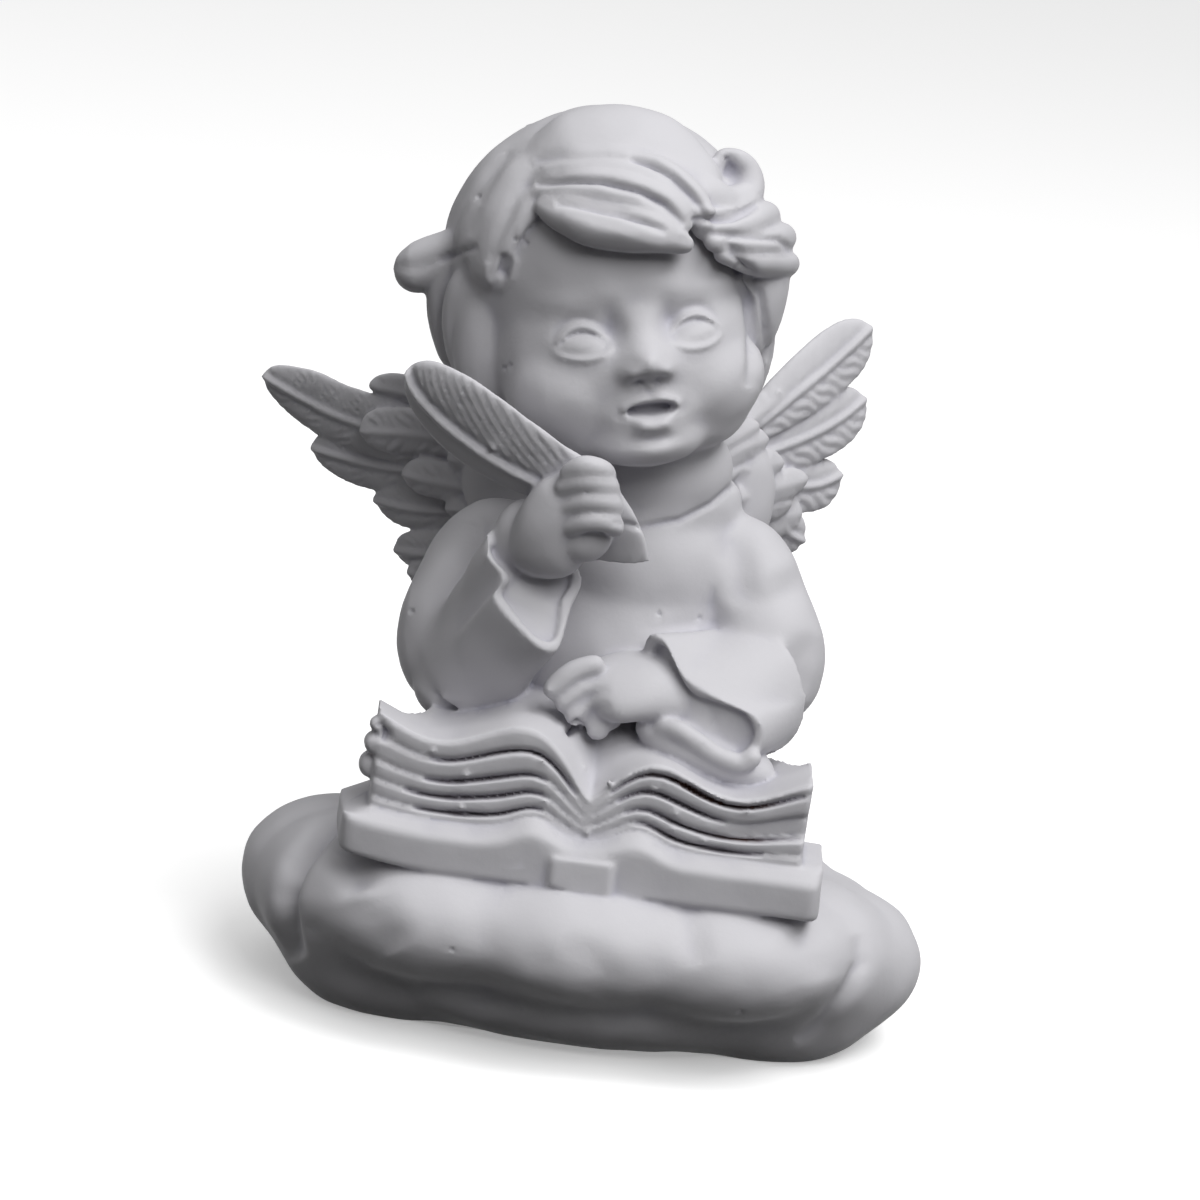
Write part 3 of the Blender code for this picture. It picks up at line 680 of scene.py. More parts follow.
# %% The temples
def right_temple():
    """Locks that stand out over the right temple, and the hair below them."""
    lock((5.8, -12.4, 7.4, 0.8, 0.8), (10.2, -10.6, 6.9, 1.3, 1.4), (13.2, -6.6, 7.1, 1.6, 1.6),
         (14.6, -3.4, 6.9, 1.3, 1.4))
    lock((6.8, -12.7, 6.2, 0.8, 0.8), (11.0, -10.4, 5.3, 1.3, 1.5), (14.3, -6.2, 4.9, 1.7, 1.7),
         (16.3, -1.8, 4.6, 1.3, 1.5))
    lock((7.8, -12.3, 5.0, 0.7, 0.8), (11.6, -9.8, 3.5, 1.2, 1.5), (14.8, -5.2, 2.6, 1.5, 1.8),
         (16.3, -1.6, 2.0, 1.2, 1.5))
    lock((10.6, -8.6, 2.6, 0.8, 0.6), (12.9, -5.4, -0.8, 1.7, 0.9), (13.4, -2.6, -5.4, 1.8, 1.1),
         (11.8, -1.6, -10.4, 1.1, 1.0), relief=strands(3, 0.3))
    lump(at(751, 302, -0.5), (3.3, 4.0, 7.0), turn=(0, 8, 0))
    lock((14.0, -1.6, 2.0, 1.6, 1.2), (14.0, 0.6, -3.0, 2.0, 1.2), (12.9, 1.2, -8.0, 1.8, 1.1),
         (11.0, 1.0, -12.0, 1.0, 1.0), relief=strands(3, 0.3))


def left_temple():
    """The left side of the parting, combed down to a fat curl that sticks out over a small ear."""
    lock((-4.4, -4.0, 14.8, 2.0, 0.5), (-7.4, -4.4, 13.9, 2.6, 0.9), (-10.4, -3.8, 12.0, 3.2, 1.0),
         (-12.9, -3.0, 9.0, 3.2, 1.1), (-14.0, -1.6, 6.2, 2.8, 1.3), relief=strands(2, 0.16))
    lock((-5.2, -7.0, 13.0, 1.2, 0.3), (-7.8, -7.4, 11.6, 2.0, 0.7), (-10.4, -6.8, 9.6, 2.6, 0.9),
         (-12.3, -6.0, 6.8, 2.6, 1.0), (-13.3, -5.2, 3.8, 2.0, 0.8), relief=strands(2, 0.14))
    lock((-3.4, 0.8, 16.4, 2.4, 0.6), (-9.6, 2.2, 13.9, 3.2, 0.9), (-12.8, 2.6, 10.6, 3.2, 1.0),
         (-14.3, 2.6, 7.2, 2.8, 1.2), relief=strands(2, 0.16))
    sweep(drawn((482, 232, -2.0, 1.8, 1.8), (458, 250, -0.5, 2.3, 2.2), (434, 262, 0.4, 2.6, 2.4),
                (414, 268, 1.0, 2.5, 2.4), (393, 268, 1.2, 2.3, 2.2)),
          facing=(0, -1, 0.2), relief=strands(2, 0.35))
    sweep(drawn((478, 250, -1.0, 2.2, 2.2), (454, 278, 0.0, 2.5, 2.4), (451, 305, 0.6, 2.4, 2.4),
                (457, 335, 1.0, 2.4, 2.4), (468, 370, 1.6, 2.2, 2.2)),
          facing=(-0.4, -1, 0), relief=strands(2, 0.3))
    sweep(drawn((492, 262, -4.0, 1.8, 1.4), (474, 292, -3.6, 2.6, 2.2), (470, 325, -3.0, 2.8, 2.4),
                (480, 365, -2.6, 2.6, 2.4), (498, 402, -2.0, 2.0, 2.0)),
          facing=(-0.4, -1, 0), relief=strands(3, 0.25))
    lump(at(500, 330, -4.2), (4.4, 3.0, 8.2))


right_temple()
left_temple()
print("hair, with the temples:", len(clay), "forms")

# %% The back of the head
def back_locks():
    """Wavy locks that fall from the crown to the nape."""
    count = 9
    for index in range(count):
        heading = math.radians(12.0 + 156.0 * index / (count - 1))
        sway = 0.16 * (-1) ** index
        rows = []
        for level, (tilt, width) in enumerate(((20, 2.2), (48, 3.4), (78, 3.9), (106, 3.6), (128, 2.2))):
            bearing = heading + sway * math.sin(1.6 * level)
            tilt = math.radians(tilt)
            reach = 14.7 if level < 3 else 13.9
            rows.append((
                -0.4 + (reach - 0.9) * math.sin(tilt) * math.cos(bearing),
                3.4 + reach * 0.96 * math.sin(tilt) * math.sin(bearing),
                3.4 + reach * 0.94 * math.cos(tilt),
                width,
                1.5,
            ))
        lock(*rows, relief=strands(3, 0.35, wander=0.5))


back_locks()
print("hair, with the back:", len(clay), "forms")

# %% [markdown]
# ## Wings
# Each wing is a fan of long feathers, one behind the other, with short round ones over their roots. A
# feather is a flat leaf with a raised rib, and fine barbs that slant from the rib towards the tip.

# %% Feathers
BARB_WANDER = 0.3
LEAF_HALF_THICK = 0.9
LEAF_WIDEST = 0.55
LEAF_TIP = 0.66


def barbs(pitch, depth, slant=1.3, rib=0.26, lower=1.0):
    """A raised rib with grooved barbs on both sides, of strength `lower` on the lower one."""
    def relief(u, s, half_width):
        out = np.abs(u) * half_width
        phase = math.pi * (s - slant * out + BARB_WANDER * np.sin(s * 1.7 + u * 2.0)) / pitch
        groove = 1.0 - np.abs(np.sin(phase)) ** 0.6
        strength = np.where(u > 0, 1.0, lower) * clamp(out / 0.7 - 0.5)
        raised = rib * bell(out / 0.32) - 0.7 * rib * bell((out - 0.62) / 0.26)
        return raised - depth * groove * strength
    return relief


def feather(spine, half_width, facing, relief, root):
    """A flat leaf with a round tip, along its spine. `root` is its width there, as a share of the widest."""
    run, travelled = smooth_run(spine, 0.5)
    t = travelled / travelled[-1]
    swell = root + (1 - root) * np.sin(0.5 * math.pi * np.minimum(t / LEAF_WIDEST, 1.0))
    taper = np.sqrt(np.maximum(1.0 - np.maximum(0.0, (t - LEAF_TIP) / (1.0 - LEAF_TIP)) ** 2, 0.0))
    width = np.maximum(half_width * swell * taper, 0.3)
    thick = LEAF_HALF_THICK * (0.45 + 0.55 * taper)
    rows = np.column_stack([run, width, thick])
    sweep(rows, facing, relief=relief, step=0.25, across=34, ends=(False, False))


# %% The left wing, seen nearly flat
LEFT_FACING = (-0.42, -0.87, -0.25)
FINE_BARBS = barbs(1.05, 0.5)
COVERT_BARBS = barbs(1.1, 0.5, slant=0.9, rib=0.12)


def fan(rows, facing, relief, root=0.6):
    """Feathers whose spines are drawn on the sheet, root first, with half a width each."""
    for half_width, *spine in rows:
        feather(drawn(*spine), half_width, facing, relief, root)


def left_wing():
    """Five long feathers and their coverts."""
    fan((
        (3.4, (470, 455, 11.0), (400, 434, 13.0), (335, 411, 16.6), (264, 374, 19.6)),
        (3.1, (480, 478, 11.7), (430, 470, 13.4), (370, 461, 16.6), (312, 446, 19.0)),
        (2.5, (490, 506, 12.5), (450, 508, 13.6), (415, 506, 14.6), (376, 498, 17.4)),
        (2.2, (490, 540, 12.8), (460, 548, 13.6), (430, 551, 14.4), (396, 548, 16.6)),
        (1.9, (490, 562, 13.2), (460, 570, 13.8), (432, 574, 14.4), (408, 570, 15.0)),
    ), LEFT_FACING, FINE_BARBS)
    fan((
        (1.6, (460, 405, 11.4), (410, 391, 12.6), (370, 384, 13.8)),
        (2.5, (455, 438, 10.4), (410, 431, 11.8), (360, 430, 13.2)),
        (2.1, (480, 486, 10.0), (440, 480, 11.0), (402, 472, 12.2)),
        (1.5, (500, 505, 9.6), (475, 507, 10.2), (446, 507, 11.2)),
        (1.9, (500, 440, 9.0), (465, 432, 9.8), (430, 425, 10.6)),
        (1.8, (510, 470, 8.8), (480, 462, 9.4), (448, 456, 10.0)),
    ), LEFT_FACING, COVERT_BARBS, root=0.8)


before_wings = len(clay)
left_wing()
print("left wing:", len(clay) - before_wings, "feathers")

# %% The right wing, which stands up and turns its edge to the viewer
RIGHT_FACING = (0.35, -0.93, 0.05)


def right_wing():
    """Four long feathers and their coverts."""
    fan((
        (3.2, (755, 425, 11.6), (800, 388, 15.0), (830, 363, 18.0), (870, 327, 21.4)),
        (3.1, (755, 455, 12.4), (800, 438, 15.4), (835, 420, 18.0), (864, 398, 20.8)),
        (2.8, (760, 488, 13.0), (790, 486, 15.2), (815, 484, 17.0), (840, 474, 19.0)),
        (2.2, (765, 520, 13.4), (780, 528, 14.6), (792, 536, 15.6), (802, 540, 16.6)),
    ), RIGHT_FACING, barbs(1.55, 0.5, slant=1.0, lower=0.3))
    fan((
        (1.6, (725, 432, 8.0), (755, 414, 11.4), (795, 382, 15.0)),
        (1.7, (715, 478, 5.6), (745, 468, 8.4), (782, 462, 12.0)),
        (1.6, (708, 466, 5.2), (734, 450, 7.0), (766, 438, 10.4)),
        (1.3, (718, 446, 5.6), (735, 436, 7.2), (756, 424, 9.6)),
        (1.7, (735, 498, 7.0), (770, 488, 11.0), (806, 478, 14.6)),
        (1.6, (735, 514, 8.0), (762, 506, 11.0), (790, 502, 13.6)),
        (2.2, (752, 520, 11.6), (774, 516, 13.4), (800, 512, 15.4)),
    ), RIGHT_FACING, barbs(1.0, 0.36, slant=0.5, rib=0.06), root=0.8)


right_wing()
print("both wings:", len(clay) - before_wings, "feathers", seconds())

# %% [markdown]
# ## The quill
# The child holds a broad feather against the cheek. Its upper vane has coarse barbs, its lower one is
# nearly smooth, and the stump below the fist is plain and cut off square.

# %% Quill
QUILL_FACING = (-0.34, -0.88, -0.36)


def quill():
    """The feather, carved above the fist and plain below it."""
    def carving(u, s, half_width):
        out = (0.35 - u) * half_width
        phase = math.pi * (s + 1.9 * out) / 1.75
        groove = (1.0 - np.abs(np.sin(phase)) ** 0.6) * clamp(out / 0.9 - 0.35)
        rib = 0.42 * bell(out / 0.34) - 0.35 * bell((out - 0.75) / 0.32)
        return (rib - 0.5 * groove) * clamp((20.0 - s) / 3.0)

    feather_run = drawn(
        (411, 365, -12.6, 1.2, 0.9), (424, 382, -13.2, 2.9, 0.95), (446, 403, -13.8, 4.0, 0.95),
        (478, 428, -14.4, 4.4, 0.95), (512, 451, -14.9, 4.2, 0.95), (545, 470, -15.1, 3.7, 0.95),
        (580, 489, -15.0, 3.2, 0.95), (603, 513, -14.7, 3.0, 0.95), (616, 538, -14.2, 3.0, 0.9),
        (620, 560, -13.8, 3.1, 0.9),
    )
    sweep(feather_run, QUILL_FACING, relief=carving, step=0.22, across=44, ends=(True, False))


quill()
print("quill:", len(clay[-1].data.vertices), "points")

# %% [markdown]
# ## Sleeves and hands
# Each sleeve ends in a bell: a thin wall that flares to a wavy rim, hollow inside. One hand is a fist round
# the quill, four fingers in a row. The other lies on the page.

# %% Bell mouths
def sleeve_bell(elbow, rim, depth, wall, root_radius=SLEEVE_RADIUS):
    """The flared end of a sleeve: a wall from the elbow to the rim, and back in to a shallow hollow."""
    closed = [rim[-1], *rim, rim[0], rim[1]]
    dense, travelled = smooth_run(closed, 0.35)
    half = len(dense) // 2
    first = np.argmin(np.linalg.norm(dense[:half] - np.array(rim[0]), axis=1))
    last = half + np.argmin(np.linalg.norm(dense[half:] - np.array(rim[0]), axis=1))
    edge = dense[first:last]
    centre = edge.mean(axis=0)
    root = np.array(elbow, float)
    axis = unit(centre - root)
    side = edge - centre
    side = side - np.outer(side @ axis, axis)
    root_ring = root + unit(side) * root_radius
    inner_edge = edge + unit(centre - edge) * wall
    inner_root = root + (root_ring - root) * 0.75
    rings = [root_ring + (edge - root_ring) * (0.6 * t + 0.4 * t ** 1.5) for t in np.linspace(0.0, 1.0, 14)]
    rings += [inner_edge + (inner_root - inner_edge) * t for t in np.linspace(0.0, depth, 8)]
    skin(np.array(rings))


def rolled_edge(rows, radius):
    """A thin roll along a sleeve's rim."""
    sweep([(*at(*row), radius, radius) for row in rows], across=14)


def fingers(sections, *rows):
    """A finger for each row of four places. The sections give their depth, half width and half thickness."""
    for places in rows:
        sweep(drawn(*[(*place, *section) for place, section in zip(places, sections)]))


# %% The arm that writes
def fist_arm():
    """Sleeve, wrist and fist on the viewer's left."""
    rim = (
        (520, 527, -11.5), (497, 527, -13.0), (483, 538, -14.6), (488, 556, -15.8), (501, 571, -16.4),
        (502, 583, -16.8), (493, 594, -17.0), (501, 609, -17.4), (520, 630, -18.0), (540, 648, -18.2),
        (557, 651, -17.6), (566, 634, -16.4), (572, 606, -14.4), (582, 582, -12.0), (575, 560, -10.4),
        (548, 540, -10.2),
    )
    sleeve_bell((-13.4, -6.2, 33.6), drawn(*rim), depth=0.05, wall=1.1, root_radius=5.6)
    lump(at(449, 684, -6.6), (3.4, 3.4, 3.4))
    sweep(drawn((545, 567, -12.2, 3.3, 2.2), (546, 557, -13.4, 3.7, 2.8), (548, 542, -14.8, 3.6, 3.2),
                (554, 520, -15.6, 3.3, 3.1), (570, 495, -15.9, 3.0, 2.9), (584, 476, -16.0, 2.2, 2.2)))
    lump(at(527, 550, -12.0), (3.0, 2.3, 3.2), turn=(0, 24, 0))
    lump(at(525, 536, -13.0), (3.0, 2.5, 3.6), turn=(0, 10, 0))
    lump(at(578, 503, -15.9), (3.6, 3.1, 4.0), turn=(0, 26, 0))
    lump(at(587, 500, -16.2), (3.1, 2.8, 3.8))
    lump(at(580, 534, -15.8), (3.0, 2.5, 2.6), turn=(0, 10, 0))
    fingers(
        ((-17.6, 0.9, 0.9), (-18.9, 1.02, 1.0), (-18.4, 1.0, 1.0), (-16.6, 0.85, 0.85)),
        ((562, 478), (584, 467), (603, 471), (607, 480)),
        ((556, 491), (584, 482), (607, 486), (610, 494)),
        ((558, 510), (586, 501), (611, 504), (614, 512)),
        ((564, 530), (588, 521), (611, 523), (614, 531)),
    )


before_arms = len(clay)
fist_arm()
print("sleeve and fist:", len(clay) - before_arms, "forms")

# %% The arm on the book
def page_arm():
    """Sleeve, hand and fingers on the viewer's right."""
    rim = (
        (648, 634, -12.4), (662, 638, -13.4), (671, 656, -14.6), (684, 678, -15.6), (706, 693, -16.2),
        (734, 706, -16.6), (754, 716, -16.8), (763, 732, -16.8), (759, 750, -16.8), (742, 763, -16.8),
        (716, 756, -17.0), (696, 742, -17.0), (676, 730, -16.6), (656, 730, -15.2), (640, 716, -12.8),
        (636, 690, -11.0), (640, 655, -11.0),
    )
    sleeve_bell((13.2, -6.6, 35.0), drawn(*rim), depth=0.09, wall=1.1)
    rolled_edge(rim[8:14], 1.0)
    sweep(drawn((735, 705, -9.0, 3.2, 2.6), (700, 700, -11.0, 3.3, 2.6), (668, 690, -12.2, 3.7, 2.6),
                (636, 686, -13.0, 4.3, 2.4), (606, 692, -13.8, 4.0, 2.1), (584, 702, -14.4, 3.0, 1.7)),
          facing=(0, -0.5, 1))
    lump(at(705, 750, -13.6), (7.0, 4.0, 2.4), turn=(0, 14, 0))
    fingers(
        ((-14.1, 1.1, 0.9), (-14.6, 1.15, 0.95), (-15.0, 1.1, 0.95), (-15.2, 0.95, 0.8)),
        ((605, 664), (580, 669), (560, 682), (546, 698)),
        ((602, 682), (583, 688), (568, 699), (557, 711)),
        ((604, 699), (588, 706), (576, 715), (567, 724)),
        ((612, 712), (602, 722), (596, 731), (592, 740)),
    )
    lump(at(592, 702, -13.6), (3.4, 2.0, 2.4), turn=(0, 30, 0))


page_arm()
print("with the other arm:", len(clay) - before_arms, "forms")

# %% [markdown]
# ## The open book
# The cover is a thick board with a flat spine block in the middle of its front edge. On it stand two blocks
# of wavy pages, which fall into the gutter between them. The front of each block is a stack of bundles, and
# part of each seam between them is cracked open by a later stroke.

# %% Book heights
COVER_LEFT = -23.2
COVER_RIGHT = 21.7
COVER_THICK = 3.9
BOOK_FRONT = -22.0
BOOK_BACK = -1.5
BOOK_RISE = 0.5
END_SPLAY = 2.2
PAGE_LEFT = -20.9
PAGE_RIGHT = 19.6
PAGE_FRONT = -20.4
GUTTER_LEVEL = 26.0
COVER_LEVEL = 21.2
GUTTER_X = -0.7


def page_height(x):
    """How high the open pages stand at x: a deep gutter, a crest beside it, then one slow wave."""
    out = np.abs(x - GUTTER_X)
    level = np.where(x < GUTTER_X, 31.0, 29.1)
    crest = np.where(x < GUTTER_X, 6.2, 5.2)
    wave = 1.25 * np.cos(2 * math.pi * (out - crest) / 16.6)
    rise = 1.0 - np.exp(-((out / 2.6) ** 1.3))
    return GUTTER_LEVEL + (level - GUTTER_LEVEL + wave) * rise


def board_level(x):
    """The cover's level at x: flat, and lifted a little towards the left end."""
    return COVER_LEVEL + clamp((-x - 14.0) / 9.0) ** 2


def cover_height(x):
    """How high the cover's upper front edge stands at x, with a crest on both sides of the spine."""
    return board_level(x) + 1.5 * bell((np.abs(x - GUTTER_X) - 4.8) / 2.6)


def back_edge(x, middle, cut=10.5):
    """How far back the book goes at x. Its ends are cut short, and the body hides the rest."""
    near_end = clamp((np.abs(x) - 13.0) / 6.0)
    return middle - cut * near_end ** 2 * (3.0 - 2.0 * near_end)


def slab(left, right, profile, corner=0.8, count=150):
    """A block from left to right. `profile` gives Y and Z round its cross-section at every x, as two arrays.

    It rises a little towards the back, and its left end splays outwards there.
    """
    x = np.linspace(left, right, count)
    near_end = np.maximum(0.0, corner - np.minimum(x - left, right - x))
    draw_in = corner - np.sqrt(np.maximum(corner ** 2 - near_end ** 2, 0.0))
    y, z = profile(x[:, None], draw_in[:, None])
    behind = (y - BOOK_FRONT) / (BOOK_BACK - BOOK_FRONT)
    splayed = x[:, None] - END_SPLAY * np.maximum(0.0, x[:, None] / COVER_LEFT) ** 2 * behind
    skin(np.stack([splayed + 0.0 * y, y, z + BOOK_RISE * behind], axis=-1))


# %% The cover
def cover():
    """The board, whose upper face slopes to a rounded front edge, and the spine block."""
    def board(x, draw_in):
        high = cover_height(x)
        low = board_level(x) - COVER_THICK
        front = BOOK_FRONT + draw_in
        back = back_edge(x, BOOK_BACK)
        y = np.concatenate(
            [front + 0.9, front + 0.3, front, front + 0.35, front + 1.4, front + 2.6, back, back], axis=1)
        ledge = 1.8 * clamp((x - COVER_LEFT) / 2.5) - 0.8
        inner = high + ledge
        z = np.concatenate([low, low + 0.4, high - 0.5, high, high + 0.8 * ledge, inner, inner, low], axis=1)
        return y, z

    slab(COVER_LEFT, COVER_RIGHT, board, corner=1.2)

    def spine(x, draw_in):
        front = BOOK_FRONT - 0.5 + draw_in
        top = COVER_LEVEL - 0.3 + 0 * x
        y = np.concatenate([front, front, front + 1.0, 0 * x - 10.0, 0 * x - 10.0], axis=1)
        z = np.concatenate([top - 3.0, top - 0.3, top, top, top - 3.0], axis=1)
        return y, z

    slab(-3.7, 2.4, spine, corner=0.5, count=30)


before_book = len(clay)
cover()
print("cover:", len(clay) - before_book, "forms")

# %% Page blocks
SOFT_END = 0.75


def smooth_window(x, start, end):
    """1 between start and end, 0 outside, with soft ends."""
    return 1.0 / (1.0 + np.exp(-(x - start) / SOFT_END)) / (1.0 + np.exp((x - end) / SOFT_END))


cracks = []


def page_block(left, right, seams, recess=None):
    """A stack of page bundles with seams between them, where part of each seam will be cracked open.

    A seam is a share of the height, and where its crack starts and ends. A recess sets part of a bundle back.
    Behind, the top page climbs out of the gutter.
    """
    shares = [-0.05] + [seam[0] for seam in seams] + [1.0]

    def level(x, share):
        foot = cover_height(x) + 0.6
        return foot + (page_height(x) - foot) * share

    for index, (low_share, high_share) in enumerate(zip(shares, shares[1:])):
        def bundle(x, draw_in):
            low = level(x, low_share)
            high = level(x, high_share)
            climb = 8.0 * bell((x - GUTTER_X) / 3.4) if index == len(seams) else 0.0
            front = PAGE_FRONT + draw_in + 0 * x
            if recess is not None and recess[0] == index:
                front = front + recess[3] * smooth_window(x, recess[1], recess[2])
            round_off = 0.25 * (high - low)
            back = back_edge(x, -3.0, cut=12.6 if right < 0 else 9.5)
            y = np.concatenate([front + 0.35, front + 0.1, front, front + 0.25, back, back], axis=1)
            z = np.concatenate([low, low + round_off, high - round_off, high, high + climb, low], axis=1)
            return y, z

        slab(left, right, bundle, corner=0.5)

    for share, start, end in seams:
        x = np.linspace(start, end, 16)
        crack = np.stack([x, np.full(16, PAGE_FRONT), level(x, share) + 0.04], axis=1)
        cracks.append(list(zip(*sheet(crack))))

    def core(x, draw_in):
        front = PAGE_FRONT + 2.4 + draw_in + 0 * x
        back = back_edge(x, -3.5, cut=12.4 if right < 0 else 9.3)
        y = np.concatenate([front, front, back, back], axis=1)
        foot = 0 * x + COVER_LEVEL - 1.0
        z = np.concatenate([foot, level(x, 0.97), level(x, 0.97), foot], axis=1)
        return y, z

    slab(left + 1.2, right - 1.2, core)


page_block(PAGE_LEFT, GUTTER_X + 0.4, [
    (0.15, -17.0, -4.8), (0.33, -18.0, -4.4), (0.52, -16.4, -4.8), (0.77, -16.0, -2.0),
])
page_block(GUTTER_X - 0.4, PAGE_RIGHT, [
    (0.17, 3.6, 16.0), (0.37, 2.5, 19.6), (0.63, 1.7, 12.2), (0.88, 1.0, 19.0),
], recess=(2, 12.0, 20.5, 0.7))


def curled_corner():
    """The ends of the top pages, rolled over each other at the left."""
    for rows in (
        ((384, 726, -20.6, 1.3, 0.9), (383, 722, -17.0, 1.3, 0.9)),
        ((376, 744, -20.2, 1.1, 1.1), (375, 740, -16.0, 1.0, 1.0)),
        ((371, 766, -19.6, 1.1, 1.2), (370, 762, -15.0, 1.1, 1.2)),
    ):
        sweep(drawn(*rows), facing=(0, 0, 1))


curled_corner()
print("book:", len(clay) - before_book, "forms", seconds())

# %% [markdown]
# ## Bubbles of the cast
# Air in the mould leaves round plaster beads, mostly in narrow places: in the page cracks, under the nose
# and in the corner of the mouth. Beads on the pages sit at the depth of the page ends, the others where the
# sight line meets the clay.

# %% Beads
BEAD_RADIUS = 0.3
PAGE_BEADS = (
    (433, 751), (543, 760), (466, 775), (461, 808), (545, 800),
    (609, 783), (654, 791), (681, 782), (747, 811), (676, 814), (673, 829), (704, 840),
)
OTHER_BEADS = (
    (587, 832), (584, 768), (662, 378), (650, 386), (673, 408), (548, 690), (493, 447), (778, 393),
)


def bead(across, down, y=None):
    """A bead on the first surface behind this place on the sheet, or at a given depth."""
    spot = None if y is None else at(across, down, y)
    if spot is None:
        hit, spot, _, _ = figure.ray_cast(Vector(EYE_POINT), Vector(unit(sight(across, down))))
        if not hit:
            return
    bpy.ops.mesh.primitive_ico_sphere_add(subdivisions=3, radius=BEAD_RADIUS, location=tuple(spot))
    clay.append(bpy.context.object)


figure = join_all("cherub", [soft_figure] + clay)
clay = []
for across, down in PAGE_BEADS:
    bead(across, down, y=PAGE_FRONT + 0.1)
for across, down in OTHER_BEADS:
    bead(across, down)
figure = join_all("cherub", [figure] + clay)
print("beads:", len(clay))

# %% [markdown]
# ## One skin
# A fine voxel remesh turns the heap into one closed surface, and a light smoothing takes the voxel steps
# out of it. Hair, sleeves, hands and cover are then smoothed further, each as soft as it looks in the
# photograph.

# %% Fine remesh
FINE_VOXEL = 0.21
remesh(figure, FINE_VOXEL)
smooth(figure, 2)
print("fine skin:", len(figure.data.vertices), "points", seconds())


def soften(chosen, rounds):
    """Smooth only the chosen points."""
    group = figure.vertex_groups.new(name="soft")
    group.add(np.flatnonzero(chosen).tolist(), 1.0, "REPLACE")
    smooth(figure, rounds, vertex_group="soft")
    figure.vertex_groups.remove(figure.vertex_groups["soft"])


# %% Where the skin is softened
HEAD_REACH = 20.5
skin_points = points_of(figure)
head_x, head_y, head_z = into(skin_points, HEAD).T
sheet_across, sheet_down = sheet(skin_points)
depth, height = skin_points[:, 1], skin_points[:, 2]


def disc(across, down, radius):
    """The points in a round place on the sheet."""
    return np.hypot(sheet_across - across, sheet_down - down) < radius


def band(line, half_width):
    """The points beside a line on the sheet."""
    return distance_to(line, sheet_across, sheet_down) < half_width


on_head = np.linalg.norm(into(skin_points, HEAD) - CRANIUM, axis=1) < HEAD_REACH
on_face = (np.abs(head_x) < 10.5) & (head_y < -8.0) & (head_z < 5.0)
fringe_edge = [(537, 193), (545, 210), (560, 228), (580, 242), (600, 252), (630, 248), (660, 257), (683, 247),
               (688, 238), (702, 232), (712, 216)]
on_fringe = band([(575, 165), (615, 180), (662, 196)], 48) & ~band(fringe_edge, 10)
on_fringe &= (head_y < -4.0) & (head_x < 9.0)
beside_face = band([(505, 150), (478, 205), (490, 255), (505, 310), (512, 380)], 32)
beside_face &= on_head & (depth > -11.0)
on_fist = disc(565, 530, 70) & (depth < -11.5)
near_rim = disc(535, 580, 92) & (depth < -8.5)
on_hand = disc(630, 690, 90) & (depth < -9.0) & (height > 31.0)
on_right_mouth = disc(722, 722, 58) & (depth < -9.0) & (height > 31.5)
on_left_sleeve = (sheet_across < 474) & (sheet_down > 470) & (sheet_down < 715)
on_left_sleeve &= (depth < 4.0) & (height > 32.5)
on_right_sleeve = (np.hypot((sheet_across - 790) / 74, (sheet_down - 600) / 95) < 1.0) & (depth < 4.0)
on_elbow = band([(462, 545), (438, 590), (430, 630), (437, 672), (455, 706)], 26)
on_elbow &= (depth < 4.0) & (height > 31.5)
on_cover = (depth < -18.0) & (height > 15.0) & (height < cover_height(skin_points[:, 0]) + 0.4)
for chosen, rounds in (
    (on_head & ~on_face, 7), (on_fringe, 60), (beside_face & ~on_fringe, 55), (on_fist, 7),
    (near_rim & ~on_fist, 12), (disc(538, 584, 25), 60), (on_hand, 20), (on_right_mouth & ~on_hand, 12),
    ((on_left_sleeve & ~near_rim) | (on_right_sleeve & ~on_hand), 60), (on_elbow, 220), (on_cover, 12),
):
    soften(chosen, rounds)
print("skin:", len(figure.data.vertices), "points", seconds())

# %% Keep the main island only
alone(figure)
bpy.ops.object.mode_set(mode="EDIT")
bpy.ops.mesh.select_all(action="DESELECT")
bpy.ops.object.mode_set(mode="OBJECT")
lowest = int(np.argmin(points_of(figure)[:, 2]))
figure.data.vertices[lowest].select = True
bpy.ops.object.mode_set(mode="EDIT")
bpy.ops.mesh.select_mode(type="VERT")
bpy.ops.mesh.select_linked()
bpy.ops.mesh.select_all(action="INVERT")
bpy.ops.mesh.delete(type="VERT")
bpy.ops.object.mode_set(mode="OBJECT")
print("one island:", len(figure.data.vertices), "points")

# %% [markdown]
# ## Fine carving
# The last strokes are the small ones that need a fine skin: the collar's seam, the partings between locks,
# the ear, the lines between fingers, pinholes and the page cracks. The cracks are pressed straight away
# from the viewer, so that their walls can't fold over each other. Then the skin is made a little uneven,
# and the underside is cut level.

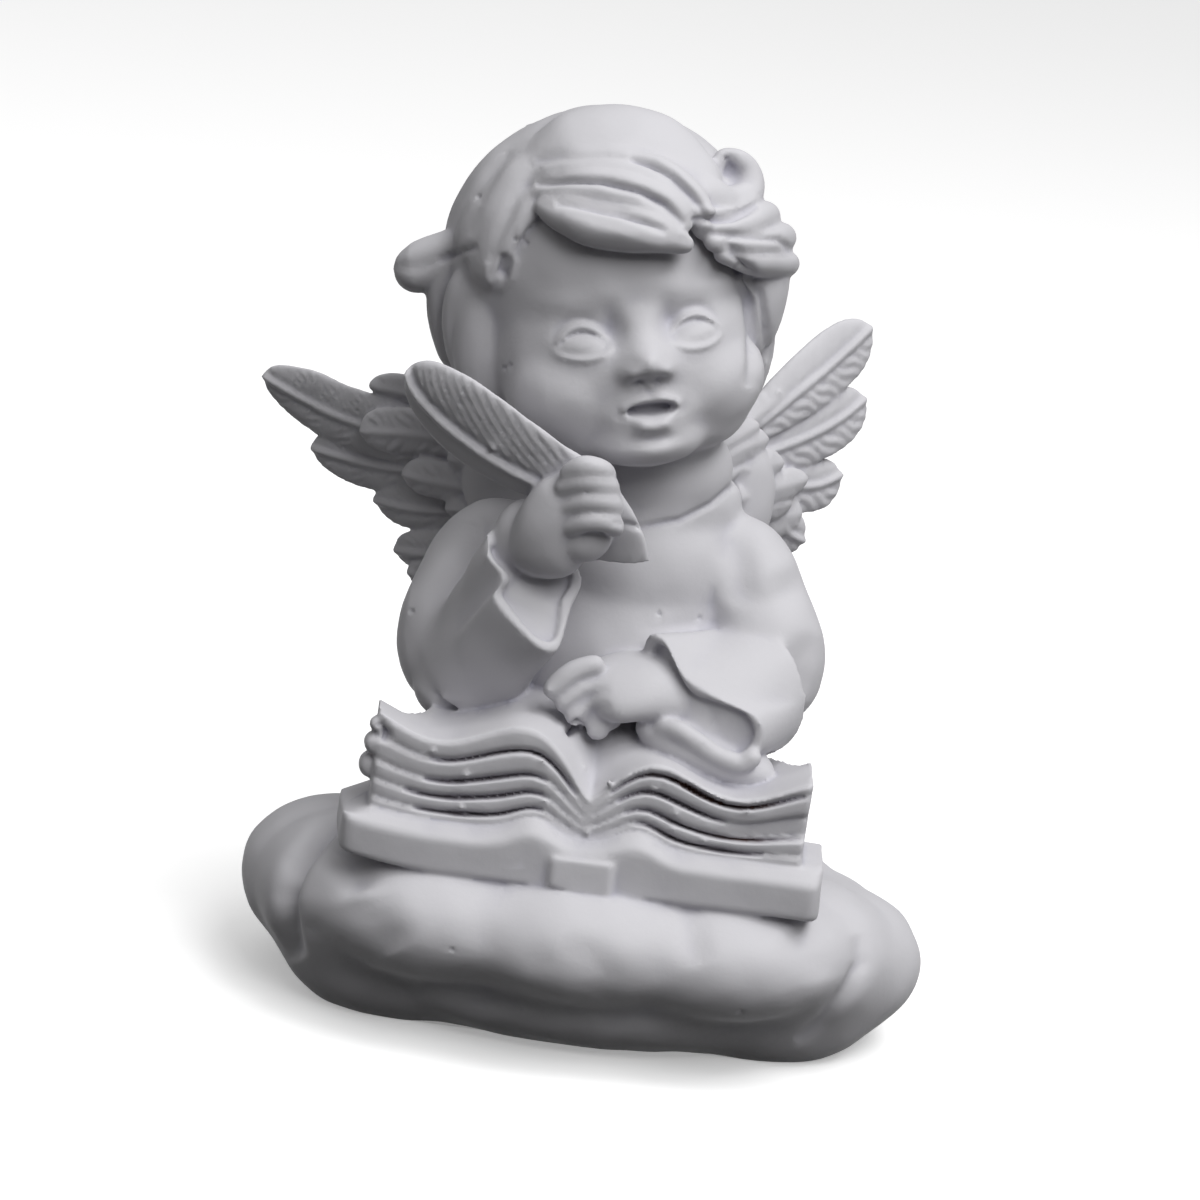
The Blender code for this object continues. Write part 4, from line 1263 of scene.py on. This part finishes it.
# %% Fine strokes
strokes([
    (-0.4, 3.5, (610, 522), (640, 527), (680, 520), (712, 504), (735, 484), (745, 470)),
    (0.12, 11, (640, 512), (675, 508), (705, 492), (728, 472)),
    (-0.3, 6, (535, 162), (560, 157), (600, 155), (640, 160), (660, 168)),
    (-0.8, 4.5, (628, 157), (650, 163), (672, 176), (692, 196), (706, 217)),
    (0.22, 9, (560, 170), (610, 168), (650, 178), (678, 200), (690, 214)),
    (-0.8, 4, (535, 184), (565, 181), (601, 181), (640, 191), (665, 205), (684, 226)),
    (0.22, 9, (556, 193), (600, 194), (640, 205), (675, 222), (690, 234)),
    (-0.7, 4, (555, 203), (590, 207), (620, 213), (645, 222), (668, 232)),
    (0.2, 9, (560, 216), (600, 229), (640, 236), (665, 245)),
    (-0.22, 9, (545, 106), (514, 136), (492, 168), (476, 204)),
    (-0.3, 7, (540, 166), (515, 198), (500, 230), (488, 262)),
    (-0.18, 7, (510, 150), (482, 192), (468, 236)),
    (-1.0, 8, (728, 158), (732, 170)),
    (0.35, 5, (692, 206), (712, 212), (738, 210), (760, 196)),
    (-0.6, 4, (690, 220), (712, 220), (732, 218), (758, 206)),
    (-0.35, 4, (708, 234), (736, 236), (780, 240), (798, 256)),
    (-0.8, 7, (726, 238), (741, 264), (750, 298), (755, 332), (755, 362), (750, 388)),
    (-0.5, 4, (750, 262), (761, 296), (767, 330), (767, 362)),
    (-0.35, 4, (438, 262), (456, 254), (478, 246)),
    (-0.6, 5, (503, 260), (502, 272)),
    (0.25, 4, (512, 250), (516, 262), (512, 278), (500, 292)),
    (0.25, 4, (487, 262), (487, 276), (494, 292)),
    (-0.8, 6, (381, 726), (384, 734)),
    (-1.0, 3.5, (567, 733), (574, 727), (580, 721)),
    (-0.2, 5, (610, 670), (580, 682), (562, 696), (546, 710)),
    (-0.2, 5, (610, 688), (584, 698), (568, 710), (554, 724)),
    (-0.2, 5, (610, 704), (590, 714), (576, 728), (566, 740)),
], behind=30.0)
PINHOLES = (
    (510, 365), (504, 368), (515, 240), (526, 243), (700, 618), (659, 614), (411, 611), (452, 950),
    (741, 1012), (470, 170), (478, 196), (447, 176), (735, 268),
)
strokes([(-0.22, 2.0, spot) for spot in PINHOLES])
strokes([(-1.1, 2.2, *crack) for crack in cracks], behind=-17.5, along=NEARER)
print("fine strokes, with", len(PINHOLES), "pinholes and", len(cracks), "cracks", seconds())

# %% Uneven surface
WAVES = 26


def work_unevenly(height):
    """Raise and lower the skin a little, as a worn mould does, by a sum of waves 3 to 9 mm long."""
    draws = np.random.default_rng(7)
    points = points_of(figure)
    total = np.zeros(len(points))
    for _ in range(WAVES):
        heading = unit(draws.normal(size=3))
        per_mm = 2 * math.pi / draws.uniform(3.0, 9.0)
        total += np.sin(points @ heading * per_mm + draws.uniform(0.0, 2 * math.pi))
    move_points(figure, points + normals_of(figure) * (height * total / math.sqrt(WAVES))[:, None])


work_unevenly(height=0.05)
print("uneven surface:", WAVES, "waves")

# %% Level underside
alone(figure)
bpy.ops.object.mode_set(mode="EDIT")
bpy.ops.mesh.select_all(action="SELECT")
bpy.ops.mesh.bisect(plane_co=(0, 0, 0), plane_no=(0, 0, -1), use_fill=True, clear_outer=True, threshold=0.01)
bpy.ops.object.mode_set(mode="OBJECT")
triangles = sum(len(face.vertices) - 2 for face in figure.data.polygons)
print("level underside:", triangles, "triangles", seconds())

# %% Thin out the triangles
MOST_TRIANGLES = 192000
LEVEL_WITHIN = 0.03
shape_with(figure, "DECIMATE", decimate_type="COLLAPSE", ratio=min(1.0, MOST_TRIANGLES / triangles))
points = points_of(figure)
points[np.abs(points[:, 2]) < LEVEL_WITHIN, 2] = 0.0
move_points(figure, points)
figure.data.transform(Matrix.Scale(METRES_PER_MM, 4))
figure.data.shade_smooth()
alone(figure)
bpy.ops.object.shade_smooth_by_angle(angle=math.radians(60))
print("triangles:", len(figure.data.polygons), seconds())

# %% [markdown]
# ## Plaster
# Casting plaster is off-white and matt. Its recesses are given a darker, violet-grey colour as painted shade,
# and the page cracks hold a brown stain. The recesses are found from the shape: a point that lies lower
# than the mean of its neighbours is in a hollow.
#
# Poured plaster takes the mould's fine grain and has tiny air pores, so the light breaks up a little on it.
# Real pores are about 0.1 mm wide. Here they are 0.9 mm and very shallow, or the picture wouldn't show
# them.

# %% Colour and node helpers
def linear(code):
    """A scene-linear colour from an sRGB hex code."""
    values = [int(code[i:i + 2], 16) / 255 for i in (1, 3, 5)]
    return [v / 12.92 if v <= 0.04045 else ((v + 0.055) / 1.055) ** 2.4 for v in values] + [1.0]


def set_inputs(node, **inputs):
    """Set each input to its value, or link another node's output to it."""
    for name, value in inputs.items():
        socket = node.inputs[name.replace("_", " ")]
        if isinstance(value, bpy.types.NodeSocket):
            node.id_data.links.new(value, socket)
        else:
            socket.default_value = value


def add_node(owner, kind, settings=(), **inputs):
    """Add a node to a material or world, with its settings and its inputs or links."""
    node = owner.node_tree.nodes.new(kind)
    for name, value in settings:
        setattr(node, name, value)
    set_inputs(node, **inputs)
    return node


# %% Hollows
SMOOTHING_ROUNDS = 14
DEEP_HOLLOW = 0.35
STAINS = (
    ((601, 787), (634, 770), (666, 770), (705, 800), (784, 812)),
    ((712, 828), (776, 852), (805, 848)),
    ((372, 752), (400, 764)),
)


def store(name, values):
    """Store a number from 0 to 1 at each of the figure's points."""
    attribute = figure.data.attributes.new(name, "FLOAT", "POINT")
    attribute.data.foreach_set("value", clamp(values))


def mark_hollows():
    """Store how hollow and how stained the surface is at each point."""
    points = points_of(figure) / METRES_PER_MM
    normals = normals_of(figure)
    edges = np.empty(len(figure.data.edges) * 2, int)
    figure.data.edges.foreach_get("vertices", edges)
    start, end = edges.reshape(-1, 2).T
    count = np.bincount(start, minlength=len(points)) + np.bincount(end, minlength=len(points))
    mean = points.copy()
    for _ in range(SMOOTHING_ROUNDS):
        total = np.zeros_like(mean)
        np.add.at(total, start, mean[end])
        np.add.at(total, end, mean[start])
        mean = 0.5 * mean + 0.5 * total / count[:, None]
    hollow = np.clip(((mean - points) * normals).sum(axis=1) / DEEP_HOLLOW, -1.0, 1.0)
    across, down = sheet(points)
    stain = np.zeros(len(points))
    for line in cracks:
        away, share = nearest_on(line, across, down)
        stain = np.maximum(stain, 0.6 * bell(away / 2.4) * tapered(share))
    for line in STAINS:
        stain += bell(distance_to(line, across, down) / 5.0)
    stain *= 0.8 * clamp(-points[:, 1] - 17.0) * clamp(hollow * 1.5)
    # The material darkens the plaster colour by this hollow value: painted shade in the recesses.
    store("hollow", hollow)
    store("stain", stain)
    print("hollows marked on", int((hollow > 0.2).sum()), "points")


mark_hollows()

# %% Casting plaster
PORE_MM = 0.9
PORE_DEPTH_MM = 0.06


def casting_plaster():
    """Matt off-white plaster, with violet-grey painted shade in the recesses, and fine pores."""
    material = bpy.data.materials.new("casting_plaster")
    material.use_nodes = True
    place = add_node(material, "ShaderNodeTexCoord")
    pores = add_node(material, "ShaderNodeTexNoise", Vector=place.outputs["Object"],
                     Scale=1.0 / (PORE_MM * METRES_PER_MM), Detail=3.0, Roughness=0.6)
    bump = add_node(material, "ShaderNodeBump", Strength=0.4, Distance=PORE_DEPTH_MM * METRES_PER_MM,
                    Height=pores.outputs["Fac"])
    hollow = add_node(material, "ShaderNodeAttribute", [("attribute_name", "hollow")])
    stain = add_node(material, "ShaderNodeAttribute", [("attribute_name", "stain")])
    # Painted shade: the more hollow a point, the darker and more violet its base colour.
    recess_shade = add_node(material, "ShaderNodeMix", [("data_type", "RGBA")],
                    Factor=hollow.outputs["Fac"], A=linear("#c4c3c7"), B=linear("#a5a4af"))
    brown = add_node(material, "ShaderNodeMix", [("data_type", "RGBA")],
                     Factor=stain.outputs["Fac"], A=recess_shade.outputs["Result"], B=linear("#4a2c22"))
    set_inputs(material.node_tree.nodes["Principled BSDF"], Base_Color=brown.outputs["Result"], Roughness=0.6,
               Specular_IOR_Level=0.3, Normal=bump.outputs["Normal"])
    return material


figure.data.materials.clear()
figure.data.materials.append(casting_plaster())
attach(figure, "root")
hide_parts("angel_figurine")
print("piece:", figure.name)

# %% [markdown]
# ## Studio
# The photograph is a cut-out on white, lit by one big soft light from above and from the right. A second
# light fills the front a little, as the white surroundings do there. The floor is pale, and gives no
# bounce, because the underside of the real cloud is nearly black.

# %% Floor, light and world
WHITE = (1.0, 1.0, 1.0, 1.0)
LIGHT_TARGET = Vector((0, 0, 0.045))
LIGHT_SIZE = 0.5


def area_light(name, place, power):
    """A square soft light at a place, aimed at the middle of the figure."""
    data = bpy.data.lights.new(name, "AREA")
    data.size = LIGHT_SIZE
    data.energy = power
    lamp = bpy.data.objects.new(name, data)
    bpy.context.collection.objects.link(lamp)
    lamp.location = place
    lamp.rotation_euler = (LIGHT_TARGET - Vector(place)).to_track_quat("-Z", "Y").to_euler()


bpy.ops.object.select_all(action="DESELECT")
bpy.ops.mesh.primitive_plane_add(size=8.0)
floor = bpy.context.object
floor.name = "studio_floor"
floor.visible_diffuse = False
pale = bpy.data.materials.new("pale_floor")
pale.use_nodes = True
set_inputs(pale.node_tree.nodes["Principled BSDF"], Base_Color=linear("#f6f6f6"), Roughness=0.9,
           Emission_Color=WHITE, Emission_Strength=0.32)
floor.data.materials.append(pale)

area_light("key", (0.433, -0.25, 0.911), power=5.2)
area_light("front", (0.31, -0.70, 0.70), power=4.4)


def dim_below():
    """A world that is bright overhead and dark below the horizon."""
    world = bpy.data.worlds.new("studio")
    bpy.context.scene.world = world
    world.use_nodes = True
    place = add_node(world, "ShaderNodeTexCoord")
    split = add_node(world, "ShaderNodeSeparateXYZ", Vector=place.outputs["Generated"])
    fade = add_node(world, "ShaderNodeMapRange", Value=split.outputs["Z"],
                    From_Min=0.1, From_Max=1.0, To_Max=0.8)
    set_inputs(world.node_tree.nodes["Background"], Color=WHITE, Strength=fade.outputs["Result"])


dim_below()
print("lights:", len(bpy.data.lights))

# %% Camera
SENSOR = 36.0
camera_data = bpy.data.cameras.new("photo_camera")
camera_data.sensor_width = SENSOR
camera_data.lens = SENSOR * ZOOM / SHEET
camera_data.clip_start = 0.01
camera = bpy.data.objects.new("photo_camera", camera_data)
bpy.context.collection.objects.link(camera)
turn = np.eye(4)
turn[:3, 0] = ACROSS
turn[:3, 1] = UPWARD
turn[:3, 2] = NEARER
turn[:3, 3] = EYE_POINT * METRES_PER_MM
camera.matrix_world = Matrix(turn.tolist())
bpy.context.scene.camera = camera
bpy.context.scene.view_settings.view_transform = "Standard"
print("camera:", round(camera_data.lens), "mm lens")
